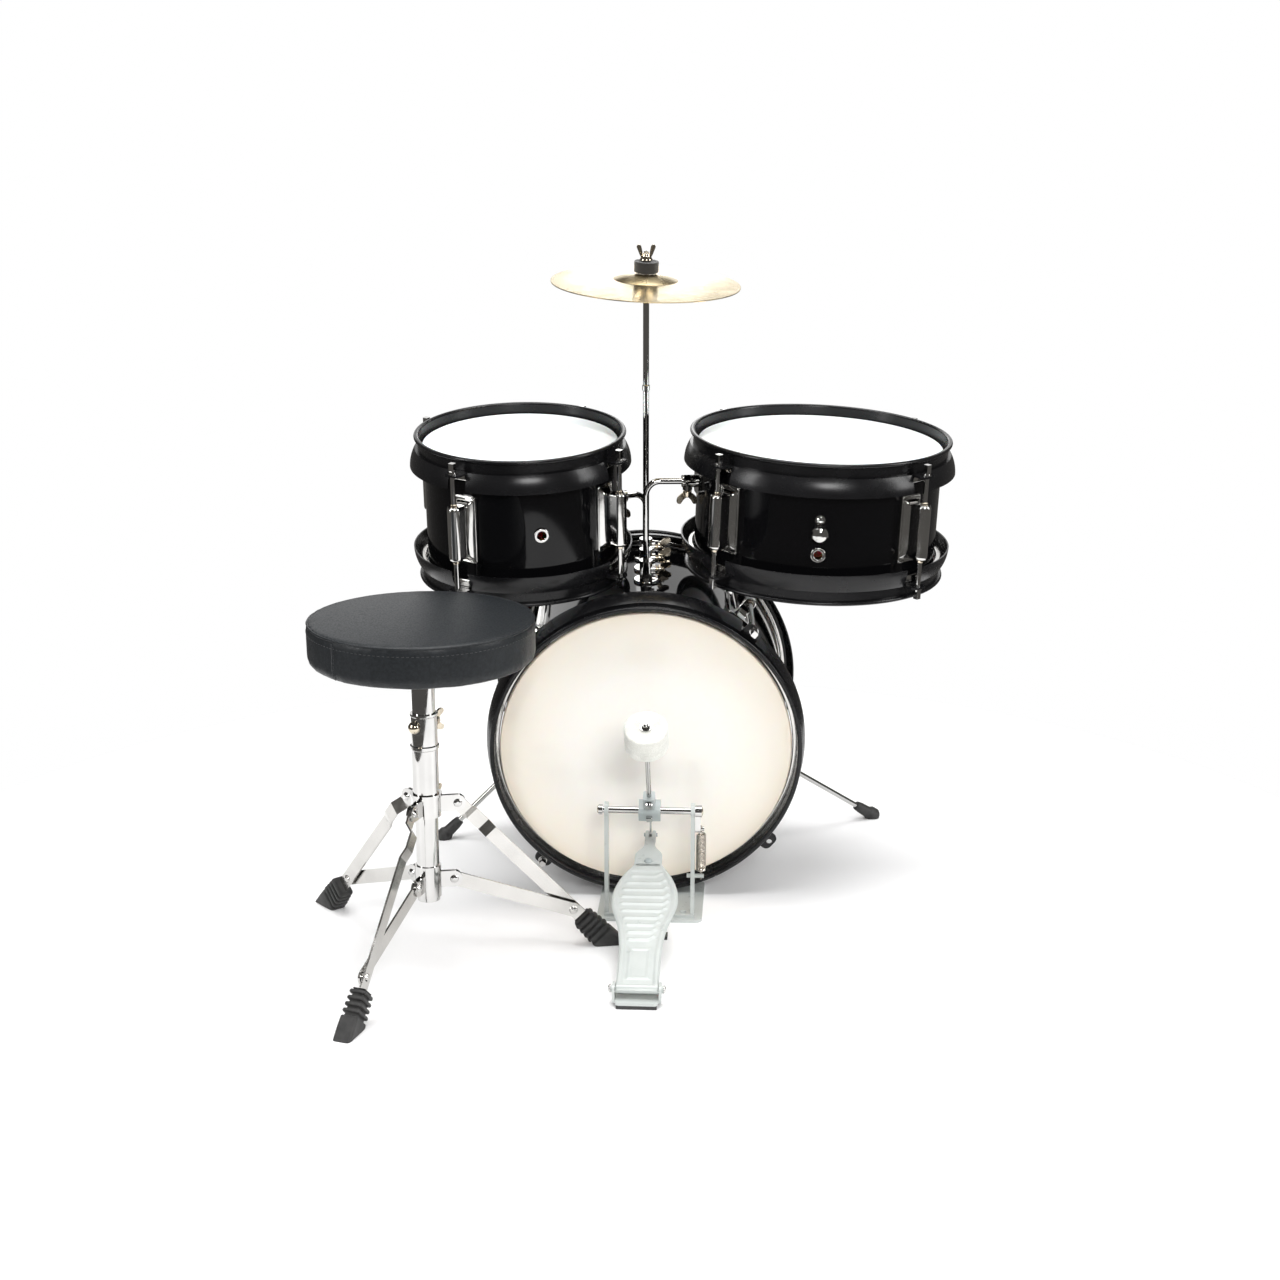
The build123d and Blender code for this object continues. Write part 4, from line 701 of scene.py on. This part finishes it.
def nut_shape():
    """Swivel nut that stands out of each end of a lug's column."""
    made = Build()
    for side in (-1, 1):
        profile = [(2.6, 24), (3.6, 24), (3.6, 30.2), (3.2, 31.0), (2.6, 31.0)]
        made.add(lathe([(r, side * z) for r, z in profile], 24, closed=True), at(lug_standoff, 0, 0))
    return made


def lugs(name, place, body, drum):
    """Lugs round a drum, with their nuts as a piece of their own."""
    bearing = drum["bearing"] - drum.get("heading", 0.0)
    columns, nuts = Build(), Build()
    one, nut = lug_shape(), nut_shape()
    for i in range(lug_count):
        turned = at(0, 0, -drum["depth"] / 2) @ turn(bearing + 360 / lug_count * i, "Z") @ at(drum["shell"], 0, 0)
        columns.add((one.points, one.faces), turned)
        nuts.add((nut.points, nut.faces), turned)
    put(f"{name}_lug_columns", columns, place, body, LUG_CHROME, [f"{name}_lugs"])
    put(f"{name}_lug_nuts", nuts, place, body, WARM_CHROME)


# ---- wing screws
def wing_screw_shape(tip, shoulder, shaft=2.4):
    """Wing screw on +X with a threaded shaft, a tapered hub and rounded wings."""
    made = Build()
    pitch = 0.9
    length = shoulder + 2 - tip
    turns = max(2, round(length / pitch))
    thread_line = [(0, tip)]
    for i in range(turns):
        start = tip + length * i / turns
        thread_line += [(shaft - 0.35, start + 0.05), (shaft, start + 0.35 * length / turns),
                        (shaft, start + 0.6 * length / turns)]
    made.add(lathe(thread_line + [(shaft - 0.3, shoulder + 2), (0, shoulder + 2)], 20), TO_X)
    hub = [(0, 0), (4.6, 0), (4.6, 1.6), (3.7, 6.5), (0, 7.2)]
    made.add(spun([(r, shoulder + z) for r, z in hub], 0.8, 28), TO_X)
    half = 10.5
    ear = [(shoulder + 1.5, 0.5), (shoulder + 2, 5), (shoulder + 7, half), (shoulder + 13, half + 0.3),
           (shoulder + 14.4, half - 3.5), (shoulder + 9, 3.6), (shoulder + 6.5, 0.5)]
    for side in (-1, 1):
        outline = rounded([(x, side * y) for x, y in ear], 2.6, 4)
        made.add(slab(outline, -1.25, 1.25), TO_FRONT)
    return made


def screw_place(joint, up):
    """Frame on a screw's joint: X along it, Z as near to up as can be."""
    place, along = joint_place(joint)
    up = (Vector(up) - along * along.dot(Vector(up))).normalized()
    return frame_at(place, along, up.cross(along), up)


def wing_screw(name, joint, up, tip, shoulder, twist=0.0):
    """Wing screw from its tip to its shoulder, mm from the joint's origin; the twist is in degrees."""
    place = screw_place(joint, up) @ turn(twist, "X")
    put(name + "_winged", wing_screw_shape(tip, shoulder), place, name, WARM_CHROME, [name], 0.55)


def height_bolt():
    """Bolt through the throne's tube: domed head in front, wing nut behind."""
    wall, shaft = 13.1, 2.9
    wings = wing_screw_shape(0, wall, shaft)
    made = Build().add((wings.points, wings.faces), BACKWARDS)
    made.add(lathe([(0, -2), (shaft, -1.9), (shaft, 13.3), (0, 13.4)], 24), TO_X)
    dome = [(0, wall), (6.0, wall), (6.0, 15.0), (4.6, 17.6), (2.0, 18.9), (0, 19.0)]
    made.add(spun(dome, 1.2, 36), TO_X)
    put("throne_height_bolt_winged", made, screw_place("height_bolt_turn", (0, 0, 1)), "throne_height_bolt",
        WARM_CHROME, ["throne_height_bolt"], 0.5)


# ---- cymbal
def cymbal_shape():
    """Spun disc with a bell, and lathe grooves all the way out."""
    depth, pitch, thick = 0.026, 2.3, 0.9
    bell = arc((10.0, bell_top), (22.0, 7.22), (33.0, 3.5), 40)
    bow = arc((33.0, 3.5), (65.3, 2.17), (96.0, 0.0), 110)
    top = [(6.0, bell_top), (8.0, bell_top)] + bell + bow[1:]
    groove = [(r, z + depth * sin(2 * pi * r / pitch) * (r > 12)) for r, z in top]
    under = [(r, z - thick) for r, z in reversed(top[::4])]
    rim = [(96.0, -0.35), (95.7, -thick)]
    return Build().add(lathe(groove + rim + under, 192, closed=True))


def cymbal():
    """Cymbal, leaning a little on its felts, and its nut upright on the rod."""
    rim_frame = kit @ shift(*cymbal_place)
    lean = rim_frame @ shift(0, 0, bell_top) @ turn(-1.2, "X") @ turn(2.3, "Y") @ shift(0, 0, -bell_top)
    put("cymbal_disc", cymbal_shape(), lean, "cymbal", BRASS, ["cymbal"])
    lower = [(3.1, 0.5), (10.0, 0.5), (10.0, 7.1), (5.1, 7.9), (3.1, 7.9)]
    upper = [(3.1, 10.1), (5.1, 10.1), (12.5, 10.9), (12.5, 22.3), (8.0, 21.2), (3.1, 21.6)]
    felts = Build()
    for profile in (lower, upper):
        points, faces = spun(profile, 1.3, 64, closed=True)
        felts.add((fuzzed(points, 0.22, 0.35), faces))
    made = put("cymbal_felt_washers", felts, lean, "cymbal_rod", BLACK_FELT, ["cymbal_felts"])
    nut = Build()
    low = 22.9
    hub = [(2.5, 0), (6.6, 0), (6.4, 1.6), (4.6, 4.5), (4.0, 7.2), (2.5, 7.2)]
    nut.add(spun([(r, low + z) for r, z in hub], 0.6, 32, closed=True))
    ear = [(0.8, 3.4), (5, 6.2), (14, 9.8), (16.2, 8.2), (15.4, 5.2), (7, 3.4)]
    for side in (-1, 1):
        nut.add(slab(rounded([(low + x, side * y) for x, y in ear], 1.8, 4), -1.5, 1.5), TO_X.inverted())
    put("cymbal_nut_winged", nut, rim_frame @ turn(90, "Z"), "cymbal_wing_nut", WARM_CHROME,
        ["cymbal_wing_nut"], 0.5)
    first, pitch = 22.5, 0.7
    ridges = []
    for i in range(14):
        ridges += [(2.42, first + pitch * i), (2.62, first + pitch * (i + 0.5))]
    made = Build().add(lathe([(1.0, 22.4)] + ridges + [(1.0, 32.3)], 24, closed=True))
    put("cymbal_rod_thread", made, rim_frame, "cymbal_rod", CHROME)


def fuzzed(points, amount, scale):
    """Points pushed a little every way, as felt stands."""
    return [Vector(point) + amount * noise.noise_vector(Vector(point) * scale) for point in points]


# ---- pedal
heel_y, heel_z = -245.0, 15.0
board_run, board_rise = 228.0, 67.0
board_length = hypot(board_run, board_rise)
board_slope = degrees(atan2(board_rise, board_run))
rib_count = 10
board_stations = [  # share of the length, half width
    (-0.05, 20.5), (0.10, 20.2), (0.22, 20.4), (0.36, 24.0),
    (0.50, 32.0), (0.60, 31.6), (0.70, 24.5), (0.78, 14.5),
]


def board_half_width(share):
    """Half width of the footboard, with smooth bends between its stations."""
    last = len(board_stations) - 1
    for i in range(last):
        (a, first), (b, second) = board_stations[i], board_stations[i + 1]
        if share <= b or i == last - 1:
            t = min(1.0, max(0.0, (share - a) / (b - a)))
            before = board_stations[max(i - 1, 0)]
            after = board_stations[min(i + 2, last)]
            slope_in = (second - before[1]) / (b - before[0]) * (b - a)
            slope_out = (after[1] - first) / (after[0] - a) * (b - a)
            t2, t3 = t * t, t * t * t
            return ((2 * t3 - 3 * t2 + 1) * first + (t3 - 2 * t2 + t) * slope_in
                    + (-2 * t3 + 3 * t2) * second + (t3 - t2) * slope_out)


def ramp(value, low, high):
    """Smooth step from 0 at low to 1 at high."""
    t = min(1.0, max(0.0, (value - low) / (high - low)))
    return t * t * (3 - 2 * t)


def board_height(x, y, half):
    """Top of the pressed board: rolled edge, border, dish, ribs and heel panel."""
    edge = half - abs(x)
    from_end = min(y + 0.02 * board_length, 0.755 * board_length - y)
    border = min(edge, from_end)
    top = 3.0 - 1.6 * (1 - ramp(edge, 0.0, 2.0)) - 1.15 * ramp(border, 4.0, 6.6)
    for i in range(rib_count):
        rib = (0.29 + 0.41 * i / (rib_count - 1)) * board_length
        reach = board_half_width(rib / board_length) - 9.0
        hook = 5.0 * ramp(x, reach - 6.5, reach - 1.0)
        across = ramp(reach + 1.5 - abs(x), 0.0, 2.5)
        top += 1.25 * across * exp(-((y - rib - hook) / 1.9) ** 2)
    inside = min(11.5 - abs(x), y - 0.045 * board_length, 0.24 * board_length - y)
    top += 0.75 * ramp(inside, 0.0, 1.6) - 0.55 * ramp(inside, 3.2, 4.8)
    return top


def board_shape():
    """Height field of the board with its skirt."""
    rows, columns = 230, 48
    start, end = -0.025 * board_length, 0.78 * board_length
    rings = []
    for i in range(rows + 1):
        y = start + (end - start) * i / rows
        half = board_half_width(y / board_length)
        across = [half * (2 * j / columns - 1) for j in range(columns + 1)]
        ring = [(x, y, board_height(x, y, half)) for x in across]
        ring += [(half - 0.5, y, 0.2), (0.0, y, 0.1), (-half + 0.5, y, 0.2)]
        rings.append(ring)
    return loft(rings)


def footboard():
    """Pressed board, its toe with the cheeks of the link's pin, and the rivet and pin."""
    made = Build().add(board_shape())
    neck = [(-13.8, 181), (-13.8, 203), (-5.4, 215), (-5.4, 230), (5.4, 230), (5.4, 215), (13.8, 203), (13.8, 181)]
    toe = Build()
    toe.add(slab(rounded(neck, 4.0, 5), 0.0, 3.0))
    for side in (-1, 1):
        cheek = slab(rectangle(8.0, 4.0, 3.4), 1.4, 5.4)
        toe.add(([(side * z, board_length - 4 + x, y) for x, y, z in cheek[0]], cheek[1]))
    toe.add(spun([(0, -19.8), (4.5, -19.8), (4.5, 19.8), (0, 19.8)], 0.8, 32), TO_X)
    place = pedal @ shift(0, heel_y, heel_z) @ turn(board_slope, "X")
    put("footboard_pressed", made, place, "footboard", PAINT, ["footboard"])
    put("footboard_toe", toe, place, "footboard", PAINT, bevel=0.7)
    pins = Build()
    pins.add(spun([(0, 2.8), (4.2, 2.8), (3.9, 4.0), (2.2, 4.9), (0, 5.1)], 0.6, 28), at(0, 190, 0))
    pins.add(spun([(0, -7), (2.0, -7), (2.0, 7), (0, 7)], 0.5, 20, 2), at(0, board_length, 0) @ TO_X)
    put("footboard_rivet", pins, place, "footboard", HUB_PAINT)


def pedal_spring():
    """Closed coil with a hook at each end, round the frame's pin and the lever's pin."""
    low, high, coils, mean, hook, per_turn = 52.0, 91.4, 28, 4.4, 3.0, 20
    path = [(0, hook * sin(a), 46.0 - hook * cos(a)) for a in (radians(-60 + 12 * i) for i in range(20))]
    path += [(0, 0.6, 49.6), (1.5, 1.5, 51.0)]
    steps = per_turn * coils
    for i in range(steps + 1):
        angle = radians(45) + 2 * pi * i / per_turn
        path.append((mean * cos(angle), mean * sin(angle), low + (high - low) * i / steps))
    path += [(1.5, 1.0, 93.0), (0, 0.2, 94.0)]
    path += [(0, -hook * sin(a), 97.4 + hook * cos(a)) for a in (radians(170 - 12 * i) for i in range(20))]
    made = put("pedal_spring_coil", Build().add(tube(path, 0.68, 8)), pedal @ shift(*spring_place, 0), None, WIRE,
               ["pedal_spring"])
    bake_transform(made)


def beater():
    """Felt of two layers, and the square screws of the hub."""
    swing = pedal @ shift(*axle_place) @ turn(32.7, "X")
    side = [(2.5, 104), (20.6, 104), (21.5, 105), (21.5, 113.2), (21.0, 114.0), (21.5, 114.8), (21.5, 131),
            (20.3, 132), (2.5, 132)]
    smooth = rounded(side, 0.9, 3)
    full, longest = [], 1.2
    for i, (r, z) in enumerate(smooth):
        nr, nz = smooth[(i + 1) % len(smooth)]
        parts = max(1, ceil(hypot(nr - r, nz - z) / longest))
        full += [(r + (nr - r) * k / parts, z + (nz - z) * k / parts) for k in range(parts)]
    points, faces = lathe(full, 112, closed=True)
    felt_piece = put("beater_felt_disc", Build().add((fuzzed(points, 0.38, 0.8), faces)), swing, "beater", WHITE_FELT,
                     ["beater_felt"])
    screws = Build()
    screws.add(slab(rectangle(3.6, 3.6, 0.8, 2), 0, 4.6), at(0, -6, 18) @ TO_FRONT)
    screws.add(lathe([(0, 0), (4.6, 0), (4.6, 1.2), (0, 1.2)], 24), at(0, -6, 18) @ TO_FRONT)
    screws.add(slab(rectangle(3.2, 3.2, 0.8, 2), 0, 4.0), at(0, -9, 0) @ TO_FRONT)
    put("beater_hub_screws", screws, swing, "beater", CHROME, bevel=0.4)
    ends = Build()
    for x, radius, outwards in ((-50.6, 4.9, TO_X.inverted()), (51.2, 5.6, TO_X)):
        dome = [(0, 0), (radius, 0), (radius, 1.4), (radius - 2, 3.0), (0, 3.2)]
        ends.add(spun(dome, 0.8, 28), at(x, 0, 0) @ outwards)
    put("pedal_axle_heads", ends, pedal @ shift(*axle_place), "beater", WARM_CHROME)


def heel_pins():
    made = Build()
    dome = spun([(0, 0), (4.0, 0), (4.0, 1.2), (2.4, 2.4), (0, 2.6)], 0.6, 24)
    for x, outwards in ((-24.6, TO_X.inverted()), (24.6, TO_X)):
        made.add(dome, at(x, heel_y, heel_z) @ outwards)
    put("heel_pin_heads", made, pedal, "bass_drum", CHROME)


# ---- throne
seat = dict(radius=109.0, low=304.0, high=347.0)
swelling = 20  # frames of the cloth simulation
stitch_count = 150
leg_slope = degrees(atan2(knee_drop, knee_run))
foot_start = hypot(knee_drop, knee_run) + 13.0


def cushion_mesh():
    """Firm round pad, remeshed evenly."""
    radius, low, high = seat["radius"] - 1.6, seat["low"] + 0.6, seat["high"] - 1.2
    points, faces = spun([(0, high + 1.8), (0.6 * radius, high + 1.2), (radius - 2, high - 0.4), (radius, high - 3.0),
                          (radius, low + 4.0), (radius - 4.5, low), (0, low)], 2.4, 128, 4)
    start = linked("cushion_start", stored("cushion_start", skinned([Vector(point) * MM for point in points], faces)))
    remesh = start.modifiers.new("remesh", "REMESH")
    remesh.mode = "VOXEL"
    remesh.voxel_size = 4.2 * MM
    even = final_mesh(start)
    bpy.data.objects.remove(start)
    return even


def final_mesh(piece):
    """The piece's mesh with its modifiers applied."""
    graph = bpy.context.evaluated_depsgraph_get()
    return bpy.data.meshes.new_from_object(piece.evaluated_get(graph), depsgraph=graph)


def inflate(data, cap):
    """Foam pressing the cover out between its seams; no point moves further than the cap, in mm."""
    pad = linked("cushion_pad", data)
    start = [vertex.co.copy() for vertex in data.vertices]
    pins = pad.vertex_groups.new(name="seams")
    edge, low, high = seat["radius"] - 6, seat["low"] + 2, seat["high"] - 4.5
    held = [v.index for v in data.vertices
            if v.co.z < low * MM or (hypot(v.co.x, v.co.y) > edge * MM and v.co.z > high * MM)]
    pins.add(held, 1.0, "REPLACE")
    cloth = pad.modifiers.new("cloth", "CLOTH")
    cloth.settings.use_pressure = True
    cloth.settings.uniform_pressure_force = 4.0
    cloth.settings.vertex_group_mass = "seams"
    cloth.settings.effector_weights.gravity = 0.0
    for moment in range(swelling):
        bpy.context.scene.frame_set(1 + moment)
    swelled = final_mesh(pad)
    bpy.context.scene.frame_set(1)
    pad.modifiers.clear()
    for vertex, before in zip(swelled.vertices, start):
        move = vertex.co - before
        if move.length > cap * MM:
            vertex.co = before + move.normalized() * cap * MM
    bpy.data.objects.remove(pad)
    return swelled


def cushion():
    """Vinyl seat: crowned top, piped edge, stitched side, lower edge pulled in by its staples."""
    data = cushion_mesh()
    data = inflate(data, 2.2)
    for vertex in data.vertices:
        place = vertex.co / MM
        reach, angle = hypot(place.x, place.y), atan2(place.y, place.x)
        height = (place.z - seat["low"]) / (seat["high"] - seat["low"])
        if reach > seat["radius"] - 12:
            pull = max(0.0, 1 - height) ** 2
            pucker = noise.noise(Vector((11 * cos(angle), 11 * sin(angle), 1.5 * height)))
            slack = noise.noise(Vector((3.2 * cos(angle), 3.2 * sin(angle), 7.0)))
            scale = 1 + (0.9 * pull * pucker + 0.9 * (1 - height) * height * slack) / reach
            drop = 1.1 * pull * slack
            place = Vector((place.x * scale, place.y * scale, place.z + drop))
        vertex.co = place * MM
    made = settle("seat_cushion_pad", data, throne, "seat", VINYL, ["seat_cushion"])
    made.modifiers.clear()
    smooth = made.modifiers.new("smooth", "SUBSURF")
    smooth.levels = smooth.render_levels = 1
    skin = BVHTree.FromObject(made, bpy.context.evaluated_depsgraph_get())

    def surface(angle, z):
        """Distance from the axis to the cover, in mm."""
        out = Vector((cos(angle), sin(angle), 0))
        hit = skin.ray_cast(out * 0.2 + Vector((0, 0, z * MM)), -out)[0]
        return hypot(hit.x, hit.y) / MM if hit else seat["radius"]

    def around(angle, z, lift):
        """Point on the cover, lifted off it."""
        reach = surface(angle, z) + lift
        return reach * cos(angle), reach * sin(angle), z

    piping = Build()
    ring = circle(180)
    piping.add(tube([around(a, seat["high"] - 3.6, 0.1) for a in ring + ring[:2]], 1.15, 10))
    put("seat_piping", piping, throne, "seat", VINYL)
    thread_piece = Build()
    step = 2 * pi / stitch_count
    for a in circle(stitch_count):
        thread_piece.add(tube([around(a + step * k / 4, seat["high"] - 10.5, 0.14) for k in range(3)], 0.3, 6))
    seam = radians(-133)
    for i in range(9):
        z = seat["low"] + 3.5 + 3.6 * i
        thread_piece.add(tube([around(seam + 0.022, z + k, 0.12) for k in (0, 1.2, 2.4)], 0.28, 6))
    thread_piece.add(tube([around(seam, seat["low"] + 2 + 1.5 * k, -0.1) for k in range(24)], 0.5, 6))
    put("seat_stitches", thread_piece, throne, "seat", THREAD)


def foot_shape():
    """Ribbed boot, then a wedge with a raised border, along the leg."""
    def section(x, thick, wide, corner=3.0):
        return [(x, y, z) for y, z in rectangle(thick, wide, corner, 4)]

    rings = [section(foot_start, 6.6, 9.2, 2.0)]
    for i in range(4):
        x = foot_start + 1.6 + 6.2 * i
        grow = 0.5 * i
        rings += [section(x, 5.4 + grow * 0.4, 8.4 + grow),
                  section(x + 0.7, 8.2 + grow * 0.3, 11.0 + grow, 3.5),
                  section(x + 3.5, 8.2 + grow * 0.3, 11.4 + grow, 3.5),
                  section(x + 4.2, 5.6 + grow * 0.4, 8.8 + grow)]
    wedge = foot_start + 27
    rings += [section(wedge, 6.5, 10.0), section(wedge + 0.8, 8.6, 12.4, 3.5), section(wedge + 10, 9.0, 12.6, 3.5),
              section(wedge + 45, 9.0, 12.6, 3.5)]
    return loft(rings)


def feet():
    """Rubber boots of the throne's legs, cut flat where they stand on the floor."""
    aside = Vector((0, 4.4, 0))  # the strips lie beside the line of their pivots
    for number, angle in enumerate(leg_angles, 1):
        name = f"throne_foot_{number}"
        place = throne @ turn(angle, "Z") @ shift(*leg_pivot) @ turn(leg_slope, "Y")
        points, faces = foot_shape()
        shape = skinned([Vector(point) + aside for point in points], faces)
        back = (place @ Matrix.Scale(MM, 4)).inverted()
        floor_point, down = back @ Vector((0, 0, 0)), (back.to_3x3() @ Vector((0, 0, -1))).normalized()
        cut = bmesh.ops.bisect_plane(shape, geom=shape.verts[:] + shape.edges[:] + shape.faces[:],
                                     plane_co=floor_point, plane_no=down, clear_outer=True)
        rim = [item for item in cut["geom_cut"] if isinstance(item, bmesh.types.BMEdge)]
        bmesh.ops.edgeloop_fill(shape, edges=rim)
        soften(shape, 0.5, 50)
        data = stored(name + "_boot", shape)
        data.transform(Matrix.Scale(MM, 4))
        settle(name + "_boot", data, place, f"throne_leg_{number}", RUBBER, [name])


# ---- build
for name, drum, place in (("small_tom", small_tom, small_frame), ("large_tom", large_tom, large_frame)):
    heads(name, drum, place, name, cad_materials["tom_head"], 0.0)
    lugs(name, place, name, drum)
heads("bass", bass, batter, "bass_drum", cad_materials["bass_head"], 0.16)
lugs("bass", batter, "bass_drum", bass)
kit_up = kit.to_3x3() @ Vector((0, 0, 1))
for which, tip, twist in (("front", 3.65, 20), ("middle", 3.5, -14), ("rear", 3.65, 8)):
    wing_screw(f"{which}_post_wing_bolt", f"{which}_wing_bolt_turn", kit_up, tip, 12.8, twist)
for tom in ("small_tom", "large_tom"):
    wing_screw(f"{tom}_wing_screw", f"{tom}_screw_turn", tom_frame(tom).col[0].to_3d(), 3.65, 10.5)
for side in ("left", "right"):
    wing_screw(f"{side}_spur_wing_screw", f"{side}_spur_screw_turn", joints[f"{side}_spur_slide"]["axis"], 3.4, 11.5)
wing_screw("throne_collar_bolt", "collar_bolt_turn", (0, 0, 1), 11.4, 19.2)
height_bolt()
cymbal()
footboard()
pedal_spring()
beater()
heel_pins()
cushion()
feet()


# ---- stage, light and camera
def studio():
    """Round sheet of pale paper on the floor of a room that is pale to the eye and dim around the lamps."""
    shape = bmesh.new()
    bmesh.ops.create_circle(shape, cap_ends=True, segments=128, radius=paper_radius)
    floor = linked("studio_floor", stored("studio_floor", shape))
    made = Surface("studio_paper", (0.95, 0.95, 0.95), 0.6)
    made.color_from(made.noise(3.0, 2.0), (0.3, (0.945, 0.945, 0.95)), (0.7, (0.955, 0.955, 0.955)))
    floor.data.materials.append(made.made)
    world = bpy.data.worlds.new("studio")
    bpy.context.scene.world = world
    world.use_nodes = True
    tree = world.node_tree
    seen = tree.nodes["Background"]
    seen.inputs["Color"].default_value = (1.0, 1.0, 1.0, 1.0)
    seen.inputs["Strength"].default_value = 1.0
    around = tree.nodes.new("ShaderNodeBackground")
    around.inputs["Color"].default_value = (0.96, 0.92, 0.87, 1.0)
    around.inputs["Strength"].default_value = room_light
    choice = tree.nodes.new("ShaderNodeMixShader")
    rays = tree.nodes.new("ShaderNodeLightPath")
    tree.links.new(rays.outputs["Is Camera Ray"], choice.inputs[0])
    tree.links.new(around.outputs[0], choice.inputs[1])
    tree.links.new(seen.outputs[0], choice.inputs[2])
    tree.links.new(choice.outputs[0], tree.nodes["World Output"].inputs["Surface"])


def softbox(name, place, target, width, height, power):
    """Area lamp aimed at a point; sizes in metres, power in watts."""
    data = bpy.data.lights.new(name, "AREA")
    data.shape = "RECTANGLE"
    data.size = width
    data.size_y = height
    data.energy = power
    light = linked(name, data)
    light.location = place
    light.rotation_euler = (Vector(target) - Vector(place)).to_track_quat("-Z", "Y").to_euler()


def camera():
    data = bpy.data.cameras.new("camera")
    data.lens = camera_lens
    data.sensor_width = 36.0
    data.clip_end = 60.0
    made = linked("camera", data)
    below_batter = Vector((kit.translation.x, kit.translation.y, 0))
    made.location = below_batter + Vector(camera_place) * MM
    made.rotation_euler = (radians(90 - camera_down), 0, 0)
    bpy.context.scene.camera = made


paper_radius = 0.85
room_light = 0.12  # what the room gives to anything but the eye
camera_lens = 58.0
camera_place = (-6.2, -2013.0, 836.0)  # mm from the floor below the batter head's middle
camera_down = 15.3
studio()
softbox("overhead", (0.0, 0.1, 2.7), (0, 0.0, 0), 2.4, 2.0, 96)
softbox("left", (-2.3, -1.1, 1.3), (0, 0, 0.3), 0.45, 1.7, 30)
softbox("right", (2.4, -0.7, 1.3), (0, 0, 0.3), 0.55, 1.7, 32)
softbox("front", (0.5, -2.9, 1.7), (0, 0, 0.25), 1.1, 0.8, 46)
softbox("behind", (0.0, 2.7, 1.2), (0, 0, 0.4), 3.0, 1.3, 13)
softbox("rim", (0.05, 2.6, 1.3), (0, 0, 0.5), 0.4, 1.2, 3)
camera()
bpy.context.scene.view_settings.view_transform = "Standard"
